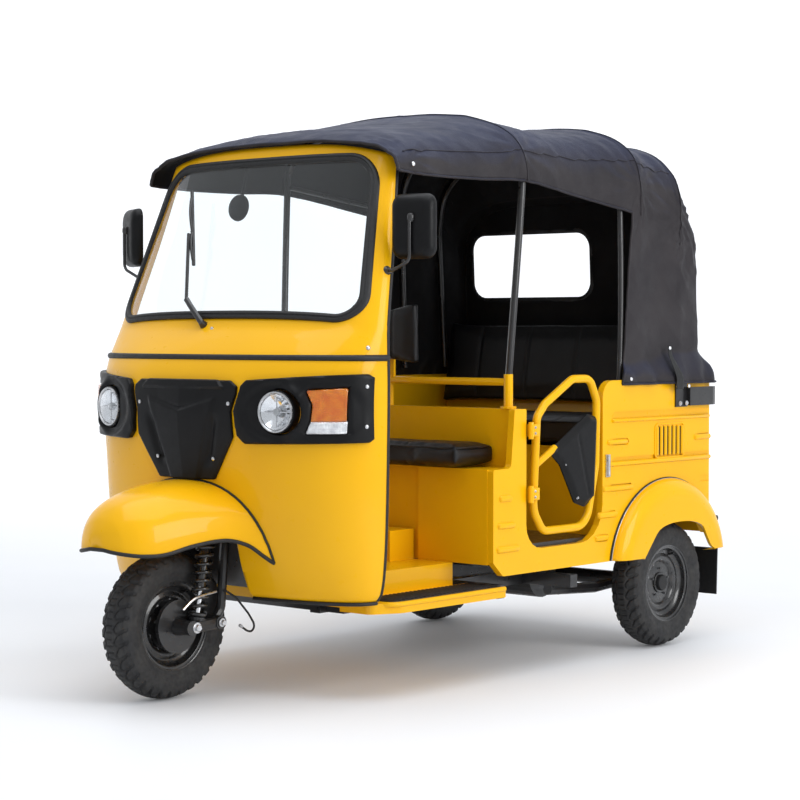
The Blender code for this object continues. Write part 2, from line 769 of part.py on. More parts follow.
def make_spring(body):
    """Coil spring round its damper, between the link's foot and the fork's crown."""
    foot = Vector((SPRING_X, *SPRING_FOOT))
    head = Vector((SPRING_X, *SPRING_HEAD))
    axis = (head - foot).normalized()
    side = axis.orthogonal().normalized()
    other = axis.cross(side)
    damper = rod(foot, head, 0.014, 12)
    spring = add("front_spring", damper, "black_paint", body)
    low = foot + axis * 0.012
    length = (head - foot).length - 0.024
    count = SPRING_TURNS * SPRING_STEPS
    coil = []
    for i in range(count + 1):
        angle = math.tau * i / SPRING_STEPS
        round_it = side * math.cos(angle) + other * math.sin(angle)
        coil.append(low + axis * (length * i / count) + round_it * SPRING_RADIUS)
    fuse(spring,
         rod(foot + axis * 0.001, foot + axis * 0.012, 0.028, 16),
         rod(head - axis * 0.012, head - axis * 0.001, 0.028, 16),
         rod(foot + axis * 0.10, head - axis * 0.008, 0.0165, 12),
         tube(coil, SPRING_WIRE, 5))


def make_brake_cable(body):
    """Two looping cables from the brake plate round to the fork arm."""
    x = LINK_X + 0.020
    route = [
        (LINK_X + 0.001, FRONT_AXLE_Y + 0.150, 0.345), (x, FRONT_AXLE_Y + 0.185, 0.318),
        (x + 0.006, FRONT_AXLE_Y + 0.235, 0.262), (x + 0.004, FRONT_AXLE_Y + 0.265, 0.212),
        (x, FRONT_AXLE_Y + 0.262, 0.200), (x - 0.004, FRONT_AXLE_Y + 0.240, 0.208),
        (x - 0.006, FRONT_AXLE_Y + 0.215, 0.222),
    ]
    add("brake_cable", tube(bent(route, 0.05, 3), 0.0035, 6), "rubber", body)


# ---------------------------------------------------------------- wheels

def tyre_profile():
    """Outline of a tyre's section as (radius, across), with square shoulders and a hollow bead."""
    half = TYRE_WIDTH / 2
    bead = (RIM_RADIUS + FIT) / math.cos(math.pi / WHEEL_SEGMENTS)
    side = [
        (bead, 0.72), (RIM_RADIUS + 0.022, 0.96), (TYRE_RADIUS - 0.045, 1.0), (TYRE_RADIUS - 0.018, 0.90),
        (TYRE_RADIUS - 0.004, 0.66), (TYRE_RADIUS, 0.30),
    ]
    right = [(r, a * half) for r, a in side]
    left = [(r, -a * half) for r, a in side[::-1]]
    return right + left


def make_wheel(name, centre, outward, body, hub_radius):
    half = RIM_WIDTH / 2
    axis = (outward, 0, 0)
    add("tyre_" + name, turned(tyre_profile(), centre, axis), "rubber", body)
    flange = RIM_RADIUS
    section = [
        (flange, -half), (flange, half), (flange - 0.005, half), (flange - 0.007, half - 0.010),
        (flange - 0.026, half - 0.022), (flange - 0.028, 0.012), (0.082, 0.004), (0.072, 0.020),
        (hub_radius, 0.022), (hub_radius, -0.008), (0.074, -0.006), (flange - 0.032, -0.004),
        (flange - 0.030, -half + 0.020), (flange - 0.007, -half + 0.010), (flange - 0.005, -half),
    ]
    return add("rim_" + name, turned(section, centre, axis, RIM_SEGMENTS), "black_paint", body)


def make_wheels(steering):
    front = Vector((0, FRONT_AXLE_Y, AXLE_Z))
    body = body_axis("front_wheel_axis", front, steering)
    rim = make_wheel("front", front, 1, body, 0.0125)
    fuse(rim, turned([(0.0125, -0.040), (0.045, -0.040), (0.045, 0.018), (0.034, 0.044), (0.0125, 0.044)],
                     front, (1, 0, 0), 20))

    def rear(suffix, side):
        centre = Vector((side * TRACK / 2, REAR_AXLE_Y, AXLE_Z))
        axis = body_axis("rear_wheel_axis_" + suffix, centre)
        wheel = make_wheel("rear_" + suffix, centre, side, axis, 0.010)
        out = Vector((side, 0, 0))
        fuse(wheel, rod(centre - out * 0.030, centre + out * 0.040, 0.034, 16))
    both_sides(rear)


# ---------------------------------------------------------------- floor and steps

def make_front_floor():
    front_y = WELL_REAR_Y + FIT
    rear_y = SEAT_FRONT_Y - FIT
    floor = add(
        "front_floor",
        box((-FLOOR_HALF, front_y, STEP_TOP_Z - 0.02), (FLOOR_HALF, rear_y, FLOOR_Z)), "yellow_paint")
    wall = 0.012
    half = FLOOR_HALF - wall
    cut(floor, box((-half, front_y + wall, 0), (half, rear_y - wall, FLOOR_Z - wall)))
    shapes = [box((-0.25, SEAT_FRONT_Y - 0.125, FLOOR_Z - 0.006), (0.25, rear_y, FLOOR_Z + 0.105))]
    for side in (1, -1):
        outer, inner = BODY_HALF, FLOOR_HALF - 0.004
        front, rear = FRONT_AXLE_Y + 0.372, SEAT_FRONT_Y + 0.078
        outline = rounded([
            (inner, front, 0), (outer - 0.05, front, 0.03), (outer, front + 0.10, 0.06),
            (outer, rear, 0.012), (inner, rear, 0)])
        shapes.append(prism([(side * x, y) for x, y in outline], "Z", STEP_TOP_Z - STEP_THICK, STEP_TOP_Z))
    fuse(floor, *shapes)
    cut(floor, rail_prism(1, FIT), rail_prism(-1, FIT))


# ---------------------------------------------------------------- seat boxes, panels and floors

def make_driver_seat_box():
    """The driver's seat box with the partition that rises behind the seat, open below."""
    half = BODY_HALF - PANEL - FIT
    low = FLOOR_Z
    profile = [
        (SEAT_FRONT_Y, low), (PARTITION_Y, low),
        (PARTITION_Y, PARTITION_Z), (PARTITION_Y - 0.035, PARTITION_Z),
        (PARTITION_Y - 0.035, SEAT_BOX_Z), (SEAT_FRONT_Y, SEAT_BOX_Z),
    ]
    seat_box = add("driver_seat_box", prism(profile, "X", -half, half), "yellow_paint")
    wall = 0.012
    cut(seat_box,
        box((-half + wall, SEAT_FRONT_Y + wall + 0.03, low - 0.1),
            (half - wall, PARTITION_Y - wall, SEAT_BOX_Z - wall)),
        box((-0.27, SEAT_FRONT_Y - 0.1, low - 0.1), (0.27, SEAT_FRONT_Y + 0.012, SEAT_BOX_Z + 0.1)))


def side_outline(door):
    """The side panel in (y, z), from its front foot round by its top, with the door opening where asked."""
    front = SEAT_FRONT_Y + 0.002
    opening = [
        (DOOR_FRONT_Y, PARTITION_Z, 0.006),
        (DOOR_FRONT_Y, DOOR_SILL_Z, 0.085),
        (DOOR_REAR_Y, DOOR_SILL_Z, 0.13),
        (DOOR_REAR_Y, BODY_TOP_Z, 0.06),
    ]
    closed = [(DOOR_FRONT_Y, PARTITION_Z, 0.006), (DOOR_FRONT_Y + 0.03, BODY_TOP_Z, 0.02)]
    corners = [
        (front, FLOOR_Z + 0.008, 0.004), (front, SEAT_BOX_Z, 0.01), (PARTITION_Y - 0.085, SEAT_BOX_Z, 0.02),
        (PARTITION_Y - 0.065, PARTITION_Z, 0.006),
    ]
    corners += opening if door else closed
    corners += [
        (BODY_REAR_Y, BODY_TOP_Z, 0.01),
        (BODY_REAR_Y, SILL_Z + 0.06, 0.02),
        (REAR_AXLE_Y, SILL_Z + 0.05, 0),
        (REAR_AXLE_Y - ARCH_RADIUS - 0.05, SILL_Z, 0),
        (front + 0.053, SILL_Z, 0.01),
    ]
    return rounded(corners, 5)


def wheel_arch(radius, side, inner, outer):
    low, high = sorted((side * inner, side * outer))
    return rod((low, REAR_AXLE_Y, AXLE_Z), (high, REAR_AXLE_Y, AXLE_Z), radius, 32)


def rib_rows(door):
    """Grooves pressed into the panel: front end, rear end (from the axle), low edge, high edge."""
    start = DOOR_REAR_Y + 0.055 - REAR_AXLE_Y if door else PARTITION_Y + 0.10 - REAR_AXLE_Y
    end = BODY_REAR_Y + 0.02 - REAR_AXLE_Y
    return (
        (start, end, 0.856, 0.886),
        (start, start + 0.110, 0.766, 0.790),
        (0.175, end, 0.766, 0.790),
        (start, end, 0.690, 0.722),
        (start - 0.015, -0.245, 0.600, 0.626),
        (0.195, end, 0.606, 0.630),
        (start - 0.025, -0.345, 0.507, 0.532),
        (start - 0.092, start - 0.014, 0.424, 0.450),
    )


def make_side_panel(suffix, side):
    inner, outer = sorted((side * (BODY_HALF - PANEL), side * BODY_HALF))
    door = side > 0
    panel = add("side_panel_" + suffix, prism(side_outline(door), "X", inner, outer), "yellow_paint")
    cut(panel, wheel_arch(ARCH_RADIUS, side, BODY_HALF - 0.2, BODY_HALF + 0.2))
    keep_inside(panel, prism(body_plan(), "Z", 0, BODY_TOP_Z + 0.1))
    ribs = []
    for start, end, low, high in rib_rows(door):
        outline = rounded_rectangle(
            (REAR_AXLE_Y + start, low), (REAR_AXLE_Y + end, high), 0.45 * (high - low), 1)
        ribs.append(prism(outline, "X", side * (BODY_HALF - RIB_DEPTH), side * (BODY_HALF + 0.1)))
    cut(panel, *ribs)
    slots = []
    for i in range(LOUVRES):
        y = REAR_AXLE_Y - 0.083 + i * 0.0300
        outline = rounded_rectangle((y, 0.7235), (y + 0.013, 0.828), 0.006, 1)
        slots.append(prism(outline, "X", side * (BODY_HALF - 0.1), side * (BODY_HALF + 0.1)))
    cut(panel, *slots)


def body_plan():
    """The space inside the passenger body's round rear corners, seen from above."""
    half = BODY_HALF + FIT
    rear = BODY_REAR_Y + FIT
    return rounded([(half, SEAT_FRONT_Y - 1, 0), (half, rear, BODY_CORNER), (-half, rear, BODY_CORNER),
                    (-half, SEAT_FRONT_Y - 1, 0)], 4)


def make_rear_floor():
    half = BODY_HALF - PANEL - FIT
    add("rear_floor",
        box((-half, PARTITION_Y + FIT, PASSENGER_FLOOR_Z - PANEL),
            (half, PASSENGER_WALL_Y - FIT, PASSENGER_FLOOR_Z)),
        "black_paint")


def make_passenger_seat_box():
    """Front wall and lid of the passenger seat box, up to the panel behind the backrest."""
    half = BODY_HALF - PANEL - FIT
    wall = 0.018
    low = PASSENGER_FLOOR_Z - PANEL
    back = REAR_AXLE_Y + 0.090
    profile = [
        (PASSENGER_WALL_Y, low), (PASSENGER_WALL_Y + wall, low),
        (PASSENGER_WALL_Y + wall, PASSENGER_BOX_Z - wall),
        (back + wall, PASSENGER_BOX_Z - wall), (back + 0.07 + wall, 1.18), (back + 0.07, 1.18),
        (back, PASSENGER_BOX_Z), (PASSENGER_WALL_Y, PASSENGER_BOX_Z),
    ]
    add("passenger_seat_box", prism(profile, "X", -half, half), "yellow_paint")


def rear_strip(height):
    """The rear panel from above, whose ends follow the side panels' round corners."""
    inner = BODY_HALF - PANEL - FIT
    ease = 0.002
    right = [(inner, BODY_REAR_Y - PANEL), (inner, BODY_REAR_Y - ease), (inner - PANEL, BODY_REAR_Y)]
    outline = right + [(-x, y) for x, y in right[::-1]]
    return [(x, y, height) for x, y in outline]


def make_rear_panel():
    add("rear_panel",
        loft([rear_strip(SILL_Z + 0.06), rear_strip(BODY_TOP_Z - 0.002)]), "yellow_paint")


def fender_section():
    """Section of a rear fender as (distance in from its ellipse, distance out from the side panel)."""
    out = FENDER_OUT
    outer = [(0.0, 0.0), (0.003, 0.020), (0.018, 0.038), (0.046, out - 0.003), (0.100, out), (0.170, out)]
    inner = [
        (0.170, out - SHEET), (0.100, out - SHEET), (0.048, out - 0.003 - SHEET), (0.023, 0.034),
        (0.009, 0.018), (SHEET, 0.0)]
    return outer + inner


def make_rear_fender(suffix, side):
    """A bulged arch over the rear wheel: open below, with a flat-topped opening in its face."""
    middle_y, middle_z = FENDER_MIDDLE
    rings = []
    for i in range(FENDER_STEPS + 1):
        angle = math.pi * i / FENDER_STEPS
        rings.append([
            (side * (BODY_HALF + FIT + out),
             middle_y - (FENDER_REACH - inset) * math.cos(angle),
             middle_z + (FENDER_RISE - inset) * math.sin(angle))
            for inset, out in fender_section()])
    fender = add("rear_fender_" + suffix, loft(rings), "yellow_paint")
    low, high = REAR_AXLE_Y - 0.262, REAR_AXLE_Y + 0.212
    opening = rounded([
        (low, FENDER_FOOT_Z - 0.05, 0), (REAR_AXLE_Y - 0.150, 0.470, 0.085),
        (REAR_AXLE_Y + 0.140, 0.468, 0.045), (high, FENDER_FOOT_Z - 0.05, 0)], 4)
    across = sorted((side * (BODY_HALF + 0.030), side * (BODY_HALF + 0.1)))
    foot = box((-1, middle_y - 0.5, 0), (1, middle_y + 0.5, FENDER_FOOT_Z))
    cut(fender, prism(opening, "X", *across), foot)
    x0, x1 = sorted((side * (BODY_HALF - 0.115), side * (BODY_HALF + 0.012)))
    y = REAR_AXLE_Y + 0.300
    flap = prism([(y, 0.168), (y + 0.005, 0.168), (y + 0.012, 0.345), (y + 0.007, 0.345)], "X", x0, x1)
    add("mud_flap_" + suffix, flap, "rubber")


# ---------------------------------------------------------------- seats

def cushion(name, low, high, edge, body=None):
    piece = add(name, box(low, high), "vinyl", body)
    soft = piece.modifiers.new("Soft edges", "BEVEL")
    soft.width = edge
    soft.segments = 3
    return piece


def make_seats():
    half = BODY_HALF - PANEL - 0.004
    cushion(
        "driver_seat", (-0.50, SEAT_FRONT_Y - 0.070, SEAT_BOX_Z + 0.002),
        (0.50, PARTITION_Y - 0.040, SEAT_BOX_Z + 0.088), 0.026)
    back_y = REAR_AXLE_Y + 0.105
    cushion(
        "passenger_seat", (-half, PASSENGER_WALL_Y - 0.040, PASSENGER_BOX_Z + 0.002),
        (half, REAR_AXLE_Y + 0.060, PASSENGER_BOX_Z + 0.110), 0.032)
    back_half = half - 0.030
    back = cushion(
        "passenger_backrest", (-back_half, back_y - 0.085, 0.885), (back_half, back_y - 0.012, 1.222), 0.028)
    lean = math.atan(0.07 / (1.18 - PASSENGER_BOX_Z))
    for vert in back.data.vertices:
        vert.co.y += (vert.co.z - 0.885) * math.tan(lean)


def make_rail():
    """Yellow rail on the partition, with its posts and the driver's backrest on a centre bracket."""
    y = PARTITION_Y - 0.0175
    half = BODY_HALF - 0.065
    rail = add("partition_rail", rod((-half, y, RAIL_Z), (half, y, RAIL_Z), RAIL_RADIUS, 12), "yellow_paint")
    shapes = [rod((x, y, PARTITION_Z + FIT), (x, y, RAIL_Z + 0.027), 0.016, 12) for x in (-half, half)]
    shapes += [rod((x, y, PARTITION_Z + FIT), (x, y, PARTITION_Z + 0.008), 0.028, 12) for x in (-half, half)]
    shapes.append(rod((0, y, PARTITION_Z + FIT), (0, y, RAIL_Z), 0.011, 12))
    shapes.append(box((-0.02, y - 0.006, RAIL_Z), (0.02, y + 0.004, RAIL_Z + 0.20)))
    fuse(rail, *shapes)
    cushion("driver_backrest", (-0.16, y - 0.060, 1.065), (0.16, y - 0.008, 1.275), 0.02)


# ---------------------------------------------------------------- canopy

# place on the vehicle, crown under ROOF_Z, half width over BODY_HALF, height where the side begins, roundness
def canopy_rows():
    return (
        (FRONT_AXLE_Y + 0.478, 0.150, -0.022, 1.688, 2.8),
        (FRONT_AXLE_Y + 0.536, 0.120, -0.022, 1.686, 2.8),
        (FRONT_AXLE_Y + 0.660, 0.080, -0.018, 1.680, 2.7),
        (FRONT_AXLE_Y + 0.900, 0.035, -0.010, 1.676, 2.6),
        (REAR_AXLE_Y - 0.850, 0.008, 0.000, 1.665, 2.65),
        (REAR_AXLE_Y - 0.510, 0.014, -0.012, 1.640, 2.9),
        (REAR_AXLE_Y - 0.180, 0.022, -0.012, 1.600, 3.4),
        (REAR_AXLE_Y - 0.050, 0.050, -0.012, 1.560, 3.5),
        (REAR_AXLE_Y + 0.075, 0.068, -0.004, 1.500, 3.7),
        (REAR_AXLE_Y + 0.165, 0.165, -0.008, 1.440, 3.7),
        (REAR_AXLE_Y + 0.230, 0.270, -0.012, 1.400, 3.7),
        (REAR_AXLE_Y + 0.250, 0.330, -0.018, 1.400, 3.7),
    )


HOOPS = (4, 6, 8)           # rows of the canopy that lie on a hoop


def canopy_ring(row, shrink, skirt_z):
    place, drop, wide, side_z, roundness = row
    half = BODY_HALF + wide - shrink
    crown = ROOF_Z - drop - shrink
    power = 2 / roundness
    lean = 0.05 if place > REAR_AXLE_Y + 0.2 else 0.0
    ring = [(half, place, skirt_z)]
    for i in range(CANOPY_POINTS + 1):
        angle = math.pi * i / CANOPY_POINTS
        across, up = math.cos(angle), math.sin(angle)
        x = half * math.copysign(abs(across) ** power, across)
        ring.append((x, place, side_z + (crown - side_z) * abs(up) ** power))
    ring.append((-half, place, skirt_z))
    return [(x, y + lean * (crown - z), z) for x, y, z in ring]


def make_canopy():
    rows = canopy_rows()
    rings = [canopy_ring(row, 0, BODY_TOP_Z + 0.003) for row in rows]
    canopy = add("canopy", loft(rings), "canvas")
    hollow = [(rows[0][0] - 0.05, *rows[0][1:]), *rows[:-2]]
    hollow += [(row[0] - CANOPY_THICK, *row[1:]) for row in rows[-2:]]
    cut(canopy, loft([canopy_ring(row, CANOPY_THICK, BODY_TOP_Z - 0.10) for row in hollow]))
    side_cut = rounded([
        (FRONT_AXLE_Y + 0.20, 0.9, 0), (REAR_AXLE_Y - 0.300, 0.9, 0),
        (REAR_AXLE_Y - 0.200, 1.598, 0.03), (REAR_AXLE_Y - 0.500, 1.645, 0.1),
        (REAR_AXLE_Y - 0.850, 1.693, 0.1),
        (FRONT_AXLE_Y + 0.60, 1.686, 0), (FRONT_AXLE_Y + 0.20, 1.700, 0)])
    low, high = (-0.495, 1.290), (0.095, 1.552)
    window = rounded_rectangle(low, high, 0.065, 4)
    cut(canopy, prism(side_cut, "X", -1, 1), prism(window, "Y", REAR_AXLE_Y + 0.15, REAR_AXLE_Y + 0.6))


def hoop_path(row, foot_z, inset):
    """Middle line of a hoop tube that follows the canopy inside."""
    ring = canopy_ring(row, CANOPY_THICK + HOOP_RADIUS + inset, foot_z + 0.02)
    return stand_on(ring, foot_z, ring[0][:2], ring[-1][:2])


def stand_on(ring, foot_z, left, right):
    """Ends a hoop in short upright feet."""
    feet_left = [(*left, foot_z), (*left, foot_z + 0.02)]
    feet_right = [(*right, foot_z + 0.02), (*right, foot_z)]
    return feet_left + ring[1:-1] + feet_right


def make_canopy_frame():
    """Hoops, posts and long tubes under the canopy, and the safety bars on the closed side."""
    rows = canopy_rows()
    foot = BODY_TOP_Z + FIT
    rail_top = RAIL_Z + 0.027 + FIT
    hoop1 = canopy_ring(rows[HOOPS[0]], CANOPY_THICK + HOOP_RADIUS + 0.004, rail_top)
    post_y = PARTITION_Y - 0.0175
    hoop1 = stand_on(hoop1, rail_top, (BODY_HALF - 0.065, post_y), (-BODY_HALF + 0.065, post_y))
    frame = add("canopy_frame", tube(hoop1, HOOP_RADIUS, 6), "black_paint")
    shapes = []
    for index, gap in zip(HOOPS[1:], (0.004, 0.010)):
        path = hoop_path(rows[index], foot, gap)
        shapes.append(tube(path, HOOP_RADIUS, 6))
    for x in (-0.36, 0.36):
        line = []
        for row in rows[1:HOOPS[2] + 1]:
            place, drop, wide, side_z, roundness = row
            half = BODY_HALF + wide - CANOPY_THICK - HOOP_RADIUS - 0.004
            crown = ROOF_Z - drop - CANOPY_THICK - HOOP_RADIUS - 0.006
            height = side_z + (crown - side_z) * (1 - (abs(x) / half) ** roundness) ** (1 / roundness)
            line.append((x, place, height))
        line[-1] = (x, line[-1][1] - 0.006, line[-1][2] - 0.008)
        shapes.append(tube(line, HOOP_RADIUS * 0.9, 6))
    for z in (1.19, 1.10):
        bar = [(-BODY_HALF + 0.035, PARTITION_Y + 0.006, z), (-BODY_HALF + 0.035, REAR_AXLE_Y - 0.17, z)]
        shapes.append(rod(bar[0], bar[1], 0.009, 8))
    fuse(frame, *shapes)


# ---------------------------------------------------------------- mirrors, wiper, lamps and fittings

def pillar_point(height, back):
    """A point on the cowl's side at a height, measured back from its nose's rear edge towards the front."""
    nose, edge, wide, roundness = smooth_row(COWL_ROWS, height)
    across = (1 - (1 - min(max((back - nose) / (edge - nose), 0), 1)) ** roundness) ** (1 / roundness)
    return Vector(((BODY_HALF + wide) * across, FRONT_AXLE_Y + back, height))


def make_mirror(suffix, side):
    """Rear-view mirror: foot on the pillar, bent arm, ball and rounded head."""
    foot = pillar_point(MIRROR_FOOT_Z, MIRROR_FOOT_BACK)
    foot.x = (foot.x + 0.005) * side
    out = Vector((side, -0.25, 0)).normalized()
    head = Vector((side * MIRROR_HEAD[0], FRONT_AXLE_Y + MIRROR_HEAD[1], MIRROR_HEAD[2]))
    half_wide, half_high, thick = MIRROR_SIZE
    outline = rounded_rectangle((-half_wide, -half_high), (half_wide, half_high), 0.030, 3)
    turn = Matrix.Rotation(side * math.radians(12), 3, "Z")
    rings = []
    for along, scale in ((-thick, 0.84), (-thick * 0.45, 0.97), (0, 1.0), (0.004, 1.0)):
        rings.append([head + turn @ Vector((x * scale, along, z * scale)) for x, z in outline])
    mirror = add("mirror_" + suffix, loft(rings), "black_plastic")
    ball = head + turn @ Vector((0, -thick - 0.002, 0.025))
    elbow = Vector((ball.x + side * 0.002, ball.y - 0.004, foot.z + 0.035))
    arm = bent([foot + out * 0.012, foot + out * 0.030, elbow, ball], 0.03, 3)
    fuse(mirror,
         tube(arm, 0.0055, 8),
         rod(ball + Vector((0, 0, -0.03)), ball + Vector((0, 0, 0.012)), 0.009, 10),
         rod(foot, foot + out * 0.018, 0.017, 12))


def make_wiper():
    """Wiper on the cowl below the windshield: pivot, arm and blade."""
    height = 1.185
    nose = smooth_row(COWL_ROWS, height)[0]
    pivot = Vector((WIPER_X, FRONT_AXLE_Y + nose - 0.010, height))
    out = Vector((0, -math.cos(RAKE * 2.2), math.sin(RAKE * 2.2)))
    wiper = add("wiper", rod(pivot + out * FIT, pivot + out * 0.036, 0.013, 12), "black_plastic")
    up = Vector((0, math.sin(RAKE), math.cos(RAKE)))
    lift = Vector((0, -math.cos(RAKE), math.sin(RAKE)))
    first = pivot + out * 0.028
    across = Vector((-1, 0, 0))
    knee = first + up * 0.060 + across * 0.022 + lift * 0.010
    tip = first + up * 0.335 + across * 0.045 - lift * 0.018
    blade_low = tip - up * 0.130 + across * 0.012 - lift * 0.002
    blade_high = tip + up * 0.150 + across * 0.004 - lift * 0.012
    fuse(wiper,
         tube([first, knee, tip], 0.0045, 6),
         tube([blade_low, tip + across * 0.003, blade_high], 0.0060, 6))


def make_tail_lamp(suffix, side):
    """Tall lamp on the back panel beside the corner."""
    low, high = (BODY_HALF - 0.088, 0.520), (BODY_HALF - 0.034, 0.590)
    base = [(side * x, z) for x, z in rounded_rectangle(low, high, 0.010, 3)]
    lens = [(side * x, z) for x, z in rounded_rectangle(
        (low[0] + 0.004, low[1] + 0.004), (high[0] - 0.004, high[1] - 0.004), 0.008, 3)]
    face = BODY_REAR_Y + FIT
    lamp = add("tail_lamp_" + suffix, prism(base, "Y", face, face + 0.016), "red_lens")
    fuse(lamp, prism(lens, "Y", face + 0.012, face + 0.034))


def make_rear_bar():
    """Black box bar that wraps the body's back under the canopy, with a plate and a strap foot each side."""
    bottom, top = 0.898, 0.967
    reach = REAR_AXLE_Y + 0.100

    def wrap(out):
        half, rear = BODY_HALF + out, BODY_REAR_Y + out
        corner = BODY_CORNER + out
        return rounded([(half, reach, 0), (half, rear, corner), (-half, rear, corner), (-half, reach, 0)], 4)
    outer, inner = wrap(0.022), wrap(3 * FIT)
    bar = add("rear_bar", prism(outer + inner[::-1], "Z", bottom, top), "black_paint")
    shapes = []
    for side in (1, -1):
        low, high = sorted((side * (BODY_HALF + FIT), side * (BODY_HALF + 0.006)))
        shapes.append(box((low, reach - 0.072, bottom - 0.004), (high, reach + 0.004, top + 0.018)))
    fuse(bar, *shapes)


def make_door_latch():
    """Latch and keeper on the jamb behind the door."""
    y = DOOR_REAR_Y + 0.026
    x = BODY_HALF + FIT
    latch = add("door_latch", box((x, y - 0.012, 0.655), (x + 0.006, y + 0.014, 0.735)), "steel")
    fuse(latch, rod((x + 0.008, y, 0.658), (x + 0.008, y, 0.732), 0.0065, 10))


# ---------------------------------------------------------------- under the body

def rail_outline(grow=0.0):
    """Side view of a chassis rail, which rises over the rear axle."""
    low, high = RAIL_LOW_Z - grow, RAIL_HIGH_Z + grow
    rise = 0.105
    front, rear = WELL_REAR_Y + 0.02 - grow, BODY_REAR_Y - 0.06
    kick, crest = DOOR_REAR_Y + 0.02, REAR_AXLE_Y - 0.19
    return [
        (front, low), (kick, low), (crest, low + rise), (rear, low + rise),
        (rear, high + rise), (crest, high + rise), (kick, high), (front, high),
    ]


def rail_prism(side, grow=0.0):
    x = sorted((side * (RAIL_X - RAIL_HALF - grow), side * (RAIL_X + RAIL_HALF + grow)))
    return prism(rail_outline(grow), "X", *x)


def make_chassis():
    """Two rails with cross members."""
    chassis = add("chassis_frame", rail_prism(1), "black_paint")
    shapes = [rail_prism(-1)]
    low, high = RAIL_LOW_Z + 0.002, RAIL_HIGH_Z - 0.002
    rise = 0.105
    for y, half, lift in (
            (WELL_REAR_Y + 0.07, 0.40, 0), (SEAT_FRONT_Y + 0.12, BODY_HALF - 0.06, 0),
            (DOOR_REAR_Y - 0.09, BODY_HALF - 0.06, 0), (REAR_AXLE_Y - 0.16, 0.40, rise),
            (BODY_REAR_Y - 0.09, 0.40, rise)):
        shapes.append(box((-half, y - 0.02, low + lift), (half, y + 0.02, high + lift)))
    fuse(chassis, *shapes)


def make_rear_axle():
    """Axle tube with its differential housing, the drive motor ahead of it, and a trailing arm each side."""
    reach = TRACK / 2 - 0.050
    y, z = REAR_AXLE_Y, AXLE_Z
    axle = add("rear_axle", rod((-reach, y, z), (reach, y, z), 0.028, 16), "black_paint")
    shapes = [
        rod((-0.085, y, z), (0.085, y, z), 0.085, 24),
        rod((-0.13, y - 0.165, z + 0.01), (0.13, y - 0.165, z + 0.01), 0.085, 24),
        box((-0.06, y - 0.16, z - 0.05), (0.06, y, z + 0.06)),
    ]
    for side in (1, -1):
        x = side * 0.40
        shapes.append(tube([(x, y, z), (x, y - 0.20, z - 0.012), (x, DOOR_REAR_Y - 0.06, 0.242)], 0.020, 8))
    fuse(axle, *shapes)


def make_battery():
    add("battery_pack",
        box((-0.26, REAR_AXLE_Y - 0.36, PASSENGER_FLOOR_Z + 0.01), (0.26, REAR_AXLE_Y + 0.06, 0.70)),
        "black_plastic")


# ---------------------------------------------------------------- door

def make_door():
    """Tube door on the left, hinged on the partition's end."""
    x = HINGE_X
    body = body_axis("door_axis", (HINGE_X, HINGE_Y, 0.73))
    face = BODY_HALF + 0.012
    front = DOOR_FRONT_Y + 0.045
    rear = DOOR_REAR_Y - DOOR_TUBE - 0.008
    corners = [
        (front, 0.520, 0.07), (rear - 0.075, 0.500, 0.06), (rear - 0.005, 0.66, 0.06), (rear, 1.010, 0.07),
        (front + 0.215, 1.010, 0.07), (front + 0.005, 0.868, 0.08),
    ]
    outline = rounded(corners, 4)
    path = [(face - 0.022, a, b) for a, b in outline]
    door = add("door_frame", tube(path, DOOR_TUBE, 8, closed=True), "yellow_paint", body)
    shapes = [rod((face - 0.022, front, 0.640), (face - 0.022, rear - 0.02, 0.800), 0.0115, 8)]
    for z in (0.62, 0.838):
        shapes.append(rod((x, HINGE_Y, z - 0.028), (x, HINGE_Y, z + 0.028), 0.009, 10))
        shapes.append(box((face - 0.014, HINGE_Y, z - 0.020), (x, front + 0.002, z + 0.020)))
    fuse(door, *shapes)
    plate = rounded([
        (rear - 0.150, 0.985, 0.02), (rear - 0.055, 0.985, 0.02), (rear - 0.0190, 0.930, 0.02),
        (rear - 0.0190, 0.830, 0.01)], 2)
    add("door_plate", prism(plate, "X", face - 0.026, face - 0.018), "black_plastic", body)


def make_all():
    clear_scene()
    make_cowl()
    make_windshield()
    panel_on_cowl("nose_grille", grille_outline(), 0.022, "black_plastic")
    both_sides(make_lamps)
    make_front_fender()
    make_wheel_well()
    steering = make_steering()
    make_wheels(steering)
    make_front_floor()
    make_driver_seat_box()
    both_sides(make_side_panel)
    make_rear_floor()
    make_passenger_seat_box()
    make_rear_panel()
    both_sides(make_rear_fender)
    make_seats()
    make_rail()
    make_canopy()
    make_canopy_frame()
    make_chassis()
    make_rear_axle()
    make_battery()
    both_sides(make_mirror)
    make_wiper()
    both_sides(make_tail_lamp)
    make_rear_bar()
    make_door()
    make_door_latch()


make_all()
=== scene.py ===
"""Looks of an electric passenger tricycle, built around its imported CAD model.

Metres, +Z up; the vehicle faces -Y and +X is its left, where the passenger door is.
The sizes of the CAD model repeat those of the part's source. Turned profiles and bolts are in millimetres.
"""
import json
import math

import bmesh
import bpy
from mathutils import Matrix, Vector, noise


